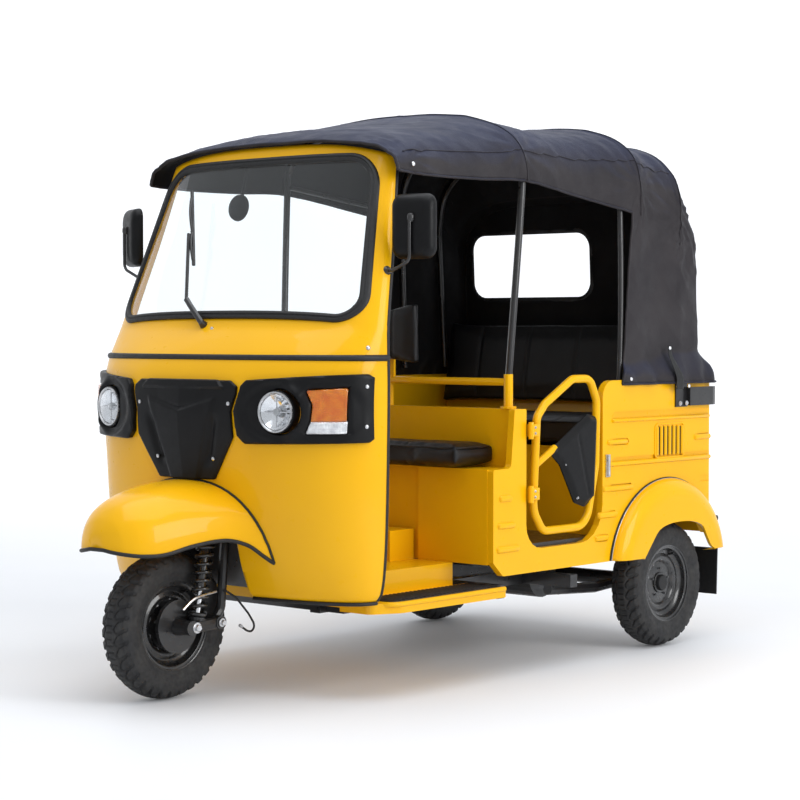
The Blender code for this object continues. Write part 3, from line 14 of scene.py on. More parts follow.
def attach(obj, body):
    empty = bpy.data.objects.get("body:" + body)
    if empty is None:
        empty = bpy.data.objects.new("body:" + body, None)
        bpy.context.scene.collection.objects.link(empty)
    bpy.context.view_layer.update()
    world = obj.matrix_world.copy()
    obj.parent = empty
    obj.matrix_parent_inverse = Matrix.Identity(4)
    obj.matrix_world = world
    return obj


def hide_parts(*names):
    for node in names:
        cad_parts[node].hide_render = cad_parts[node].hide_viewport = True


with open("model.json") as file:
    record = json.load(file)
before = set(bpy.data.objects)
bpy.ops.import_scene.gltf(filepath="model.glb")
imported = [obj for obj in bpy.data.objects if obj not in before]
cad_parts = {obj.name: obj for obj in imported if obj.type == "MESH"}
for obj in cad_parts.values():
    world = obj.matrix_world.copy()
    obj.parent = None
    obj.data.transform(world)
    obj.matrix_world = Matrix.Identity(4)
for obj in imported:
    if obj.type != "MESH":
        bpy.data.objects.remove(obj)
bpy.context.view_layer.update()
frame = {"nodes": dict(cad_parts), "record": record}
NODES = frame["nodes"]
SIDES = (("left", 1), ("right", -1))

# Sizes of the CAD model
BODY_HALF = 0.60
FRONT_AXLE_Y = -1.010
REAR_AXLE_Y = FRONT_AXLE_Y + 2.0
TRACK = 1.08
AXLE_Z = 0.236
ROOF_Z = 1.955
PARTITION_Y = REAR_AXLE_Y - 0.880
RAKE = math.radians(19.0)
COWL_TOP_Z = 1.812
COWL_BASE_Z = 0.315
# height, nose behind the front axle, rear edge behind it, half width over BODY_HALF, roundness
COWL_ROWS = (
    (COWL_BASE_Z, 0.215, 0.375, -0.030, 2.4),
    (0.345, 0.190, 0.385, -0.012, 2.4),
    (0.450, 0.150, 0.392, -0.002, 2.4),
    (0.600, 0.118, 0.395, 0.003, 2.4),
    (0.750, 0.100, 0.397, 0.005, 2.4),
    (0.900, 0.082, 0.399, 0.006, 2.4),
    (1.000, 0.087, 0.400, 0.006, 2.4),
    (1.080, 0.118, 0.400, 0.005, 2.4),
    (1.150, 0.185, 0.400, 0.004, 2.4),
    (1.200, 0.238, 0.402, 0.003, 2.4),
    (1.500, 0.368, 0.490, -0.048, 2.7),
    (COWL_TOP_Z, 0.500, 0.572, -0.101, 3.0),
)
LAMP_X, LAMP_Z, LAMP_RADIUS = 0.389, 0.925, 0.065
SCREEN_LOW_Z = 1.203
SCREEN_HIGH_Z = 1.757
SCREEN_LOW_HALF = BODY_HALF - 0.022
SCREEN_HIGH_HALF = BODY_HALF - 0.118
SCREEN_CORNER = 0.095
SCREEN_HEAD_CORNER = 0.130
GASKET_WIDTH = 0.030


# ---------------------------------------------------------------- materials

class Finish:
    """Builds one node material around a Principled shader."""

    def __init__(self, name, colour, roughness, **sockets):
        self.name = name
        self.material = bpy.data.materials.new(name)
        self.material.use_nodes = True
        self.tree = self.material.node_tree
        self.shader = self.tree.nodes["Principled BSDF"]
        self.set("Base Color", (*colour, 1.0))
        self.set("Roughness", roughness)
        for socket, value in sockets.items():
            self.set(socket.replace("_", " "), value)
        self.place = self.node("TexCoord").outputs["Object"]

    def set(self, socket, value):
        self.shader.inputs[socket].default_value = value

    def feed(self, socket, value):
        """Links an output to a socket, or sets a plain value."""
        if isinstance(value, bpy.types.NodeSocket):
            self.tree.links.new(value, socket)
        else:
            socket.default_value = value

    def node(self, kind, **inputs):
        made = self.tree.nodes.new("ShaderNode" + kind)
        for socket, value in inputs.items():
            self.feed(made.inputs[socket.replace("_", " ")], value)
        return made

    def link(self, output, socket):
        self.tree.links.new(output, self.shader.inputs[socket])

    def noise(self, scale, detail=3.0, roughness=0.5):
        made = self.node("TexNoise", Vector=self.place, Scale=scale, Detail=detail, Roughness=roughness)
        return made.outputs[0]

    def cells(self, scale, feature="F1", randomness=1.0):
        made = self.node("TexVoronoi", Vector=self.place, Scale=scale, Randomness=randomness)
        made.feature = feature
        return made.outputs["Distance"]

    def weave(self, direction):
        made = self.node("TexWave", Vector=self.place, Scale=420.0, Distortion=0.4, Detail=1.0)
        made.bands_direction = direction
        return made.outputs["Fac"]

    def remap(self, value, low, high, to_low, to_high):
        made = self.node("MapRange")
        for socket, given in zip(made.inputs, (value, low, high, to_low, to_high)):
            self.feed(socket, given)
        return made.outputs["Result"]

    def added(self, a, b):
        made = self.node("Math")
        made.operation = "ADD"
        for socket, value in zip(made.inputs, (a, b)):
            self.feed(socket, value)
        return made.outputs[0]

    def mixed(self, share, *colours):
        made = self.node("Mix")
        made.data_type = "RGBA"
        self.feed(made.inputs[0], share)
        for socket, colour in zip([s for s in made.inputs if s.type == "RGBA"], colours):
            self.feed(socket, (*colour, 1.0) if isinstance(colour, tuple) else colour)
        return [s for s in made.outputs if s.type == "RGBA"][0]

    def bump(self, *layers):
        """Each layer is (height, strength, distance in metres)."""
        normal = None
        for height, strength, distance in layers:
            made = self.node("Bump", Height=height, Strength=strength, Distance=distance)
            if normal:
                self.tree.links.new(normal, made.inputs["Normal"])
            normal = made.outputs["Normal"]
        self.link(normal, "Normal")

    def vary(self, scale, dark, light, detail=3.0):
        share = self.remap(self.noise(scale, detail), 0.35, 0.65, 0.0, 1.0)
        self.link(self.mixed(share, dark, light), "Base Color")

    def rough(self, scale, low, high, detail=3.0):
        self.link(self.remap(self.noise(scale, detail), 0.3, 0.7, low, high), "Roughness")


def plain(name, colour, roughness, vary=None, rough=None, bumps=(), **sockets):
    """A finish whose colour and roughness vary; bumps are (scale, detail, strength, distance in metres)."""
    made = Finish(name, colour, roughness, **sockets)
    if vary:
        made.vary(*vary)
    if rough:
        made.rough(*rough)
    if bumps:
        made.bump(*[(made.noise(scale, detail), *size) for scale, detail, *size in bumps])
    return made


def canvas():
    """Woven cloth: near black, with a blue-grey painted sky reflection mixed into its colour where it faces
    up.
    """
    made = Finish("canvas", (0.010, 0.011, 0.014), 0.62, Sheen_Weight=0.02, Sheen_Roughness=0.40,
                  Specular_IOR_Level=0.22, Sheen_Tint=(0.50, 0.55, 0.80, 1.0))
    # painted sky reflection: where the normal points up, the colour is mixed towards the blue-grey top
    # colours
    facing = made.node("SeparateXYZ", Vector=made.node("NewGeometry").outputs["Normal"]).outputs["Z"]
    painted_sky_share = made.remap(facing, 0.15, 0.85, 0.0, 1.0)
    cloth = made.remap(made.noise(4.5, 5.0, 0.6), 0.35, 0.65, 0.0, 1.0)
    side = made.mixed(cloth, (0.018, 0.0155, 0.018), (0.031, 0.027, 0.029))
    # blue-grey colours of the painted sky reflection on the upward faces
    top = made.mixed(cloth, (0.010, 0.013, 0.033), (0.016, 0.020, 0.047))
    made.link(made.mixed(painted_sky_share, side, top), "Base Color")
    made.rough(16.0, 0.44, 0.62, 5.0)
    threads = made.added(made.weave("X"), made.added(made.weave("Y"), made.weave("Z")))
    made.bump((made.noise(14.0, 5.0, 0.55), 0.25, 0.012), (threads, 0.18, 0.0006))
    return made


def vinyl():
    """Grained black vinyl."""
    made = plain("seat_vinyl", (0.005, 0.005, 0.006), 0.36,
                 (7.0, (0.0045, 0.0045, 0.0055), (0.008, 0.008, 0.0095)), (28.0, 0.29, 0.44),
                 Specular_IOR_Level=0.32)
    grain = made.remap(made.cells(420.0, "DISTANCE_TO_EDGE"), 0.0, 0.12, 0.0, 1.0)
    made.bump((grain, 0.35, 0.0006), (made.noise(16.0), 0.15, 0.006))
    return made


def lens(name, colour, roughness, dark, light, scale, cells, depth, **sockets):
    """Moulded lens plastic with small even cells behind its clear face."""
    made = plain(name, colour, roughness, (scale, dark, light),
                 Coat_Weight=1.0, Coat_Roughness=0.03, **sockets)
    made.bump((made.cells(cells, randomness=0.0), depth, 0.002))
    return made


def tinted_lens(name, dark, light):
    return lens(name, light, 0.08, dark, light, 30.0, 130.0, 0.5, Transmission_Weight=0.55, IOR=1.45)


# name, colour, roughness, then how the colour (scale, dark, light, detail) and the roughness
# (scale, low, high) vary, and the bumps
FINISHES = (
    plain("wheel_nuts", (0.10, 0.10, 0.105), 0.35, (60.0, (0.06, 0.06, 0.065), (0.20, 0.20, 0.20)),
          (80.0, 0.28, 0.48), Metallic=0.9),
    lens("frosted_lens", (0.80, 0.81, 0.82), 0.12, (0.62, 0.63, 0.65), (0.92, 0.93, 0.94), 60.0, 160.0, 0.6,
         Metallic=0.55),
    plain("yellow_paint", (0.86, 0.445, 0.003), 0.34,
          (3.0, (0.870, 0.452, 0.003), (0.845, 0.434, 0.003), 2.0), (35.0, 0.27, 0.38),
          ((260.0, 2.0, 0.10, 0.0006), (9.0, 1.0, 0.06, 0.004)),
          Coat_Weight=0.26, Coat_Roughness=0.035, Specular_IOR_Level=0.12),
    plain("black_paint", (0.011, 0.011, 0.012), 0.34, (14.0, (0.009, 0.009, 0.010), (0.017, 0.016, 0.016)),
          (40.0, 0.26, 0.46), ((420.0, 2.0, 0.12, 0.0005),), Coat_Weight=0.35, Coat_Roughness=0.12),
    plain("wheel_steel", (0.012, 0.012, 0.013), 0.28, (18.0, (0.009, 0.009, 0.010), (0.022, 0.021, 0.020)),
          (50.0, 0.22, 0.42), ((380.0, 2.0, 0.10, 0.0005),), Coat_Weight=0.6, Coat_Roughness=0.08),
    plain("black_plastic", (0.003, 0.003, 0.0036), 0.38,
          (8.0, (0.003, 0.003, 0.0036), (0.0052, 0.0052, 0.0058)), (60.0, 0.36, 0.47),
          ((900.0, 3.0, 0.22, 0.0004),), Specular_IOR_Level=0.20),
    plain("rubber", (0.006, 0.006, 0.0065), 0.52, None, (90.0, 0.48, 0.64), ((600.0, 2.0, 0.15, 0.0004),)),
    plain("tyre", (0.017, 0.017, 0.018), 0.72, (22.0, (0.012, 0.012, 0.013), (0.026, 0.025, 0.024), 4.0),
          (70.0, 0.60, 0.84), ((700.0, 3.0, 0.3, 0.0005), (60.0, 2.0, 0.1, 0.001))),
    canvas(),
    plain("lining", (0.008, 0.008, 0.009), 0.90, (6.0, (0.007, 0.007, 0.008), (0.012, 0.012, 0.013), 4.0),
          None, ((18.0, 4.0, 0.25, 0.01), (700.0, 2.0, 0.2, 0.0006)),
          Sheen_Weight=0.05, Specular_IOR_Level=0.15),
    vinyl(),
    plain("bright_steel", (0.60, 0.61, 0.62), 0.28, (40.0, (0.52, 0.53, 0.54), (0.68, 0.68, 0.69)),
          (60.0, 0.2, 0.42), ((500.0, 2.0, 0.1, 0.0003),), Metallic=1.0),
    plain("chrome", (0.86, 0.87, 0.88), 0.06, (12.0, (0.82, 0.83, 0.85), (0.90, 0.90, 0.91)),
          (30.0, 0.04, 0.10), Metallic=1.0),
    plain("mirror_glass", (0.72, 0.74, 0.77), 0.03, (5.0, (0.70, 0.72, 0.75), (0.75, 0.77, 0.79)),
          Metallic=1.0),
    plain("windshield_glass", (0.90, 0.945, 0.955), 0.0,
          (1.6, (0.885, 0.94, 0.955), (0.92, 0.955, 0.96), 1.0), None, ((2.2, 1.0, 0.02, 0.01),),
          Transmission_Weight=1.0, IOR=1.45),
    plain("clear_lens", (0.97, 0.98, 0.99), 0.01, (9.0, (0.96, 0.975, 0.985), (0.985, 0.99, 0.995)),
          Transmission_Weight=1.0, IOR=1.45),
    tinted_lens("indicator_lens", (0.85, 0.20, 0.004), (1.0, 0.33, 0.01)),
    tinted_lens("tail_lens", (0.42, 0.006, 0.004), (0.62, 0.012, 0.008)),
    plain("ribbed_mat", (0.014, 0.014, 0.015), 0.66,
          (30.0, (0.011, 0.011, 0.012), (0.024, 0.023, 0.022), 4.0), None, ((500.0, 2.0, 0.25, 0.0005),)),
)
MATERIALS = {made.name: made.material for made in FINISHES}
MATERIALS["lamp_glass"] = MATERIALS["clear_lens"]
# the record's name for each finish that isn't one of its own
RECORD_SLOTS = {
    "wheel_nuts": "bright_steel", "chrome": "bright_steel", "mirror_glass": "bright_steel",
    "frosted_lens": "lamp_glass", "lining": "canvas", "ribbed_mat": "rubber",
}
# coiled and bent rods, which a bevel would spoil
UNBEVELLED = {"brake_cable", "front_spring"}


def dress_nodes():
    """Gives every CAD node the material of its slot, smooth faces and softened edges."""
    for row in frame["record"]["subparts"]:
        node = NODES[row["node"]]
        node.data.materials.clear()
        node.data.materials.append(MATERIALS[row["material_slot"]])
        node.data.shade_smooth()
        node.data.set_sharp_from_angle(angle=math.radians(35))
        if row["node"] in UNBEVELLED:
            continue
        edge = node.modifiers.new("edges", "BEVEL")
        edge.width = 0.0012
        edge.segments = 2
        edge.limit_method = "ANGLE"
        edge.angle_limit = math.radians(40)
        edge.harden_normals = True


# ---------------------------------------------------------------- shapes

def smooth_row(rows, place):
    """Reads a table by its first column, along smooth curves through its rows."""
    last = len(rows) - 1
    place = min(max(place, rows[0][0]), rows[last][0])
    i = max(k for k in range(last) if rows[k][0] <= place)
    r0, r1, r2, r3 = rows[max(i - 1, 0)], rows[i], rows[i + 1], rows[min(i + 2, last)]
    span = r2[0] - r1[0]
    t = (place - r1[0]) / span
    values = []
    for k in range(1, len(r1)):
        slope_in = (r2[k] - r0[k]) / (r2[0] - r0[0]) * span
        slope_out = (r3[k] - r1[k]) / (r3[0] - r1[0]) * span
        a = 2 * r1[k] - 2 * r2[k] + slope_in + slope_out
        b = 3 * r2[k] - 3 * r1[k] - 2 * slope_in - slope_out
        values.append(((a * t + b) * t + slope_in) * t + r1[k])
    return values


def ease(value, low, high):
    """0 under low, 1 over high, smooth between."""
    t = min(max((value - low) / (high - low), 0.0), 1.0)
    return t * t * (3 - 2 * t)


def bell(value, width):
    """1 at value 0, falling off smoothly over the width on both sides."""
    return math.exp(-(value / width) ** 2)


def spread(low, high, count):
    """Evenly spaced numbers from low to high."""
    return [low + (high - low) * i / (count - 1) for i in range(count)]


def vectors(points):
    return [Vector(point) for point in points]


def mirrored(points):
    return [Vector((-point.x, point.y, point.z)) for point in points]


def on_side(side, points):
    """Points given for the vehicle's left, on the side asked for."""
    return [(side * x, y, z) for x, y, z in points]


def rounded(corners, steps=8):
    """An outline whose (a, b, radius) corners are replaced by arcs."""
    outline = []
    for i, (a, b, radius) in enumerate(corners):
        here = Vector((a, b))
        back = (Vector(corners[i - 1][:2]) - here).normalized()
        ahead = (Vector(corners[(i + 1) % len(corners)][:2]) - here).normalized()
        half = back.angle(ahead) / 2
        centre = here + (back + ahead).normalized() * (radius / math.sin(half))
        reach = radius / math.tan(half)
        first = here + back * reach - centre
        sweep = first.angle_signed(here + ahead * reach - centre)
        for step in range(steps + 1):
            turn = Matrix.Rotation(-sweep * step / steps, 2)
            outline.append(tuple(centre + turn @ first))
    return outline


def rounded_box(a0, b0, a1, b1, radius):
    return rounded([(a0, b0, radius), (a1, b0, radius), (a1, b1, radius), (a0, b1, radius)])


def resampled(points, longest, closed=False):
    """The same line with points no further apart than longest."""
    points = vectors(points)
    ends = points[1:] + (points[:1] if closed else [])
    line = []
    for here, there in zip(points, ends):
        count = max(1, math.ceil((there - here).length / longest))
        line += [here.lerp(there, i / count) for i in range(count)]
    return line if closed else line + [points[-1]]


def evenly(points, count):
    """A line through the same points with count points at even distances."""
    points = vectors(points)
    lengths = [0.0]
    for here, there in zip(points, points[1:]):
        lengths.append(lengths[-1] + (there - here).length)
    line = []
    k = 0
    for target in spread(0.0, lengths[-1], count):
        while k < len(points) - 2 and lengths[k + 1] < target:
            k += 1
        span = lengths[k + 1] - lengths[k]
        line.append(points[k].lerp(points[k + 1], (target - lengths[k]) / span if span else 0))
    return line


def bent(points, radius, steps=6):
    """A path whose inner corners are rounded."""
    points = vectors(points)
    path = [points[0]]
    for before, here, after in zip(points, points[1:], points[2:]):
        back = (before - here).normalized()
        ahead = (after - here).normalized()
        half = back.angle(ahead) / 2
        reach = min(radius / math.tan(half), 0.45 * (before - here).length, 0.45 * (after - here).length)
        size = reach * math.tan(half)
        centre = here + (back + ahead).normalized() * (size / math.sin(half))
        first = here + back * reach - centre
        last = here + ahead * reach - centre
        path += [centre + first.lerp(last, step / steps).normalized() * size for step in range(steps + 1)]
    path.append(points[-1])
    return path


def curve_through(points, count):
    """A smooth line through a few points."""
    points = vectors(points)
    padded = [points[0] * 2 - points[1], *points, points[-1] * 2 - points[-2]]
    line = []
    for i in range(count):
        place = (len(points) - 1) * i / (count - 1)
        k = min(int(place), len(points) - 2)
        t = place - k
        p0, p1, p2, p3 = padded[k:k + 4]
        line.append(0.5 * ((2 * p1) + (p2 - p0) * t + (2 * p0 - 5 * p1 + 4 * p2 - p3) * t * t
                           + (3 * p1 - p0 - 3 * p2 + p3) * t ** 3))
    return line


def smooth_profile(profile, count):
    """A smooth line through a few points of two numbers."""
    return [(point.x, point.y) for point in curve_through([(a, b, 0) for a, b in profile], count)]


# ---------------------------------------------------------------- meshes

def finish_mesh(name, bm, finish, body="root", slot=None, replaces=(), sharp=40):
    """Turns a bmesh into a piece of the vehicle that rides on a body."""
    bmesh.ops.recalc_face_normals(bm, faces=bm.faces)
    piece = mesh_object(name, bm, MATERIALS[finish])
    piece.data.set_sharp_from_angle(angle=math.radians(sharp))
    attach(piece, body)
    slot or RECORD_SLOTS.get(finish, finish)
    if replaces:
        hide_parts(*replaces)
    return piece


def mesh_object(name, bm, material):
    mesh = bpy.data.meshes.new(name)
    bm.to_mesh(mesh)
    bm.free()
    mesh.materials.append(material)
    mesh.shade_smooth()
    return placed(name, mesh)


def placed(name, data):
    """A new object of the scene."""
    made = bpy.data.objects.new(name, data)
    bpy.context.scene.collection.objects.link(made)
    return made


def make_piece(name, finish, parts, **options):
    """A piece made of several parts, each an add function and its arguments."""
    bm = bmesh.new()
    for add, *arguments in parts:
        add(bm, *arguments)
    return finish_mesh(name, bm, finish, **options)


def add_grid(bm, rows, closed_rows=False, closed_columns=False, keep=None):
    """Faces over a table of points; keep(points of a face) may leave some out."""
    table = [[bm.verts.new(point) for point in row] for row in rows]
    last_row = len(table) if closed_rows else len(table) - 1
    width = len(table[0])
    last_column = width if closed_columns else width - 1
    for i in range(last_row):
        low, high = table[i], table[(i + 1) % len(table)]
        for j in range(last_column):
            corners = (low[j], low[(j + 1) % width], high[(j + 1) % width], high[j])
            if keep is None or keep([corner.co for corner in corners]):
                bm.faces.new(corners)
    return table


def drop_loose(bm):
    loose = [vert for vert in bm.verts if not vert.link_faces]
    bmesh.ops.delete(bm, geom=loose, context="VERTS")


def cut(bm, place, normal, clear=False):
    """Cuts the faces along a plane; clear drops what lies behind it."""
    everything = [*bm.verts, *bm.edges, *bm.faces]
    bmesh.ops.bisect_plane(bm, geom=everything, plane_co=place, plane_no=normal, clear_inner=clear)


def join(bm, part):
    """Moves another bmesh's faces into this one."""
    mesh = bpy.data.meshes.new("joined")
    part.to_mesh(mesh)
    part.free()
    bm.from_mesh(mesh)
    bpy.data.meshes.remove(mesh)


def add_tube(bm, path, radius, count=10, closed=False, squash=1.0, up=None):
    """A tube along a path. With up, its section is flattened by squash along that direction."""
    path = vectors(path)
    size = len(path)
    tangents = []
    for i in range(size):
        before = path[i - 1] if closed or i else path[i]
        after = path[(i + 1) % size] if closed or i < size - 1 else path[i]
        tangents.append((after - before).normalized())
    side = Vector(up) if up else tangents[0].orthogonal()
    angles = [math.tau * k / count for k in range(count)]
    rows = []
    for place, tangent in zip(path, tangents):
        guide = Vector(up) if up else side
        side = (guide - tangent * guide.dot(tangent)).normalized()
        other = tangent.cross(side)
        rows.append([place + (side * math.cos(t) * squash + other * math.sin(t)) * radius for t in angles])
    table = add_grid(bm, rows, closed_rows=closed, closed_columns=True)
    if not closed:
        bm.faces.new(table[0][::-1])
        bm.faces.new(table[-1])


def add_turned(bm, profile, centre, axis, count=24):
    """A (radius, along) profile in millimetres turned about an axis; it closes where its radius is 0."""
    axis = Vector(axis).normalized()
    side = axis.orthogonal().normalized()
    other = axis.cross(side)
    rows = []
    for i in range(count):
        angle = math.tau * i / count
        out = side * math.cos(angle) + other * math.sin(angle)
        rows.append([Vector(centre) + out * (r / 1000) + axis * (a / 1000) for r, a in profile])
    part = bmesh.new()
    add_grid(part, rows, closed_rows=True)
    bmesh.ops.remove_doubles(part, verts=part.verts, dist=1e-6)
    join(bm, part)


def add_bolt(bm, place, axis, radius=6, height=4, sides=6):
    """A bolt head on its washer, in millimetres."""
    axis = Vector(axis).normalized()
    place = Vector(place)
    rim = radius * 1.5
    washer = [(0, 0), (rim, 0), (rim, height * 0.2), (radius * 1.45, height * 0.3), (0, height * 0.3)]
    head = [(0, 0), (radius, 0), (radius, height * 0.8), (radius * 0.86, height), (0, height)]
    add_turned(bm, washer, place, axis, 16)
    add_turned(bm, head, place + axis * (height * 0.0003), axis, sides)


def add_block(bm, low, high, bevel=0.002, segments=2):
    """A box with rounded edges."""
    part = bmesh.new()
    bmesh.ops.create_cube(part, size=1.0)
    low, high = Vector(low), Vector(high)
    middle, size = (low + high) / 2, high - low
    for vert in part.verts:
        vert.co = Vector(vert.co[k] * size[k] for k in range(3))
    bmesh.ops.bevel(part, geom=part.edges[:], offset=bevel, segments=segments, profile=0.5, affect="EDGES")
    for vert in part.verts:
        vert.co = middle + vert.co
    join(bm, part)


def solidify(piece, thickness, offset=-1.0, inner=0):
    """Gives a sheet its thickness; its inner side takes the material that many slots further on."""
    change = piece.modifiers.new("thickness", "SOLIDIFY")
    change.thickness = thickness
    change.offset = offset
    change.use_even_offset = True
    change.material_offset = inner


# ---------------------------------------------------------------- cowl

COWL_ROWS_FINE = 100
COWL_COLUMNS_FINE = 121
COWL_WALL = 0.018
COWL_BEND_Z = 1.62
ARCH_HALF = 0.185
ARCH_TOP_Z = 0.60
HEM_Z = 1.796
BELT_Z = 1.093
SCREEN_FOOT = Vector((0, FRONT_AXLE_Y + 0.29, SCREEN_LOW_Z))
SCREEN_UP = Vector((0, math.sin(RAKE), math.cos(RAKE)))
SCREEN_OUT = Vector((0, -math.cos(RAKE), math.sin(RAKE)))
# share across the gasket's width from its outer edge, height over the cowl's face
GASKET_SECTION = (
    (0.00, -0.004), (0.00, 0.002), (0.05, 0.007), (0.16, 0.010), (0.36, 0.0102), (0.43, 0.0065),
    (0.50, 0.0060), (0.56, 0.0066), (0.62, 0.0100), (0.80, 0.0098), (0.93, 0.0065), (1.0, 0.000),
    (1.0, -0.008), (0.5, -0.012),
)


def oval_point(angle, power):
    """Across and along of a rounded arch at an angle; a small power makes it square."""
    across, along = math.cos(angle), math.sin(angle)
    return math.copysign(abs(across) ** power, across), abs(along) ** power


def cowl_outline(height, out=0.0, count=COWL_COLUMNS_FINE):
    """The cowl's plan outline at a height, from its left rear edge round the nose to its right one."""
    nose, edge, wide, roundness = smooth_row(COWL_ROWS, height)
    curve = []
    for i in range(361):
        across, along = oval_point(math.pi * i / 360, 2 / roundness)
        curve.append(Vector(((BODY_HALF + wide) * across, FRONT_AXLE_Y + edge - (edge - nose) * along)))
    curve = evenly(curve, count)
    if out:
        curve = pushed_out(curve, out)
    return [Vector((p.x, p.y, height)) for p in curve]


def pushed_out(curve, out):
    """A plan outline moved outwards by a distance."""
    last = len(curve) - 1
    moved = []
    for i, point in enumerate(curve):
        run = (curve[min(i + 1, last)] - curve[max(i - 1, 0)]).normalized()
        moved.append(point + Vector((-run.y, run.x)) * -out)
    return moved


def face_y(x, z):
    """Where the cowl's face lies at a place across and a height."""
    nose, edge, wide, roundness = smooth_row(COWL_ROWS, z)
    share = min(abs(x) / (BODY_HALF + wide), 1)
    return FRONT_AXLE_Y + edge - (edge - nose) * (1 - share ** roundness) ** (1 / roundness)


def on_cowl(x, z, out=0.0):
    """A point on the cowl's face, moved out square to it, and the direction out."""
    small = 0.004
    here = Vector((x, face_y(x, z), z))
    across = Vector((x + small, face_y(x + small, z), z)) - Vector((x - small, face_y(x - small, z), z))
    up = Vector((x, face_y(x, z + small), z + small)) - Vector((x, face_y(x, z - small), z - small))
    normal = across.cross(up).normalized()
    if normal.y > 0:
        normal = -normal
    return here + normal * out, normal


def screen_outline(inset, steps=10):
    """The windshield's rounded outline in (x, distance up the slope from its lower edge)."""
    rise = (SCREEN_HIGH_Z - SCREEN_LOW_Z) / math.cos(RAKE)
    low, high = SCREEN_LOW_HALF - inset, SCREEN_HIGH_HALF - inset
    corner, head_corner = SCREEN_CORNER - inset, SCREEN_HEAD_CORNER - inset
    return rounded([
        (low, inset, corner), (high, rise - inset, head_corner),
        (-high, rise - inset, head_corner), (-low, inset, corner)], steps)


def on_screen(x, rise, behind):
    """A point of the windshield's outline, moved square to its slope to lie behind the cowl's face."""
    start = SCREEN_FOOT + Vector((x, 0, 0)) + SCREEN_UP * rise
    near, far = -0.25, 0.25
    for _ in range(22):
        middle = (near + far) / 2
        point = start + SCREEN_OUT * middle
        if point.y - face_y(point.x, point.z) > behind:
            near = middle
        else:
            far = middle
    return start + SCREEN_OUT * near


def inside_outline(outline, a, b):
    """Whether a point lies inside a closed outline."""
    within = False
    for (a0, b0), (a1, b1) in zip(outline, outline[1:] + outline[:1]):
        if (b0 > b) != (b1 > b) and a < (a1 - a0) * (b - b0) / (b1 - b0) + a0:
            within = not within
    return within


def cowl_row(height):
    """A row of the cowl's points; near the top the rows bend down with the roof's front hem."""
    row = cowl_outline(height)
    if height <= COWL_BEND_Z:
        return row
    share = (height - COWL_BEND_Z) / (COWL_TOP_Z - COWL_BEND_Z)
    half = row[0].x
    lowered = []
    for point in row:
        hem = HEM_Z - 0.085 * min(abs(point.x) / BODY_HALF, 1) ** 3
        z = COWL_BEND_Z + (hem - COWL_BEND_Z) * share
        x = (BODY_HALF + smooth_row(COWL_ROWS, z)[2]) * point.x / half
        lowered.append(Vector((x, face_y(x, z), z)))
    return lowered


def in_arch_or_lamp(point):
    """Whether the cowl is open there, for the front wheel or behind a headlamp."""
    lamp = point.y < FRONT_AXLE_Y + 0.25 and math.hypot(abs(point.x) - LAMP_X, point.z - LAMP_Z) < 0.072
    return lamp or (abs(point.x) < ARCH_HALF and point.z < ARCH_TOP_Z)


def make_cowl():
    """The steel nose with its windshield, wheel arch and headlamp openings."""
    outline = screen_outline(0.010)

    def kept(corners):
        rises = [(co.z - SCREEN_FOOT.z) / math.cos(RAKE) for co in corners]
        return not all(inside_outline(outline, co.x, rise) for co, rise in zip(corners, rises))

    bm = bmesh.new()
    add_grid(bm, [cowl_row(height) for height in spread(COWL_BASE_Z, COWL_TOP_Z, COWL_ROWS_FINE)], keep=kept)
    cut(bm, (-ARCH_HALF, 0, 0), (1, 0, 0))
    cut(bm, (ARCH_HALF, 0, 0), (1, 0, 0))
    cut(bm, (0, 0, ARCH_TOP_Z), (0, 0, 1))
    gone = [face for face in bm.faces if in_arch_or_lamp(face.calc_center_median())]
    bmesh.ops.delete(bm, geom=gone, context="FACES")
    drop_loose(bm)
    cowl = finish_mesh("cowl_shell", bm, "yellow_paint", replaces=["cowl"], sharp=60)
    solidify(cowl, COWL_WALL)


def make_gasket():
    """Black rubber round the windshield, with a filler strip between two lips."""
    outer = resampled(screen_outline(0.0, 12), 0.03, closed=True)
    rows = []
    for i, here in enumerate(outer):
        run = (outer[(i + 1) % len(outer)] - outer[i - 1]).normalized()
        inward = Vector((-run.y, run.x))
        if run.cross(Vector((0, 0.29)) - here) <= 0:
            inward = -inward
        rows.append([on_screen(*(here + inward * GASKET_WIDTH * share), -up) for share, up in GASKET_SECTION])
    make_piece("windshield_rubber", "rubber", [(add_grid, rows, True, True)],
               replaces=["windshield_gasket"], sharp=50)


def make_glass():
    """The windshield's pane: two curved faces joined round their rim."""
    outline = resampled(screen_outline(GASKET_WIDTH - 0.008), 0.025, closed=True)
    right = sorted((point for point in outline if point.x > 0.001), key=lambda point: point.y)
    columns = 41
    bm = bmesh.new()
    faces = []
    for behind in (0.002, 0.007):
        rows = []
        for point in right:
            rows.append([on_screen(x, point.y, behind) for x in spread(point.x, -point.x, columns)])
        faces.append(add_grid(bm, rows))
    front, rear = faces
    last = len(right) - 1
    rim = [(0, j) for j in range(columns)] + [(i, columns - 1) for i in range(1, last + 1)]
    rim += [(last, j) for j in range(columns - 2, -1, -1)] + [(i, 0) for i in range(last - 1, -1, -1)]
    for (i, j), (k, l) in zip(rim, rim[1:]):
        bm.faces.new((front[i][j], front[k][l], rear[k][l], rear[i][j]))
    finish_mesh("windshield_pane", bm, "windshield_glass", replaces=["windshield"], sharp=60)


def rear_edge(height, out):
    """The cowl's left rear edge at a height."""
    _, edge, wide, _ = smooth_row(COWL_ROWS, height)
    return Vector((BODY_HALF + wide + out, FRONT_AXLE_Y + edge, height))


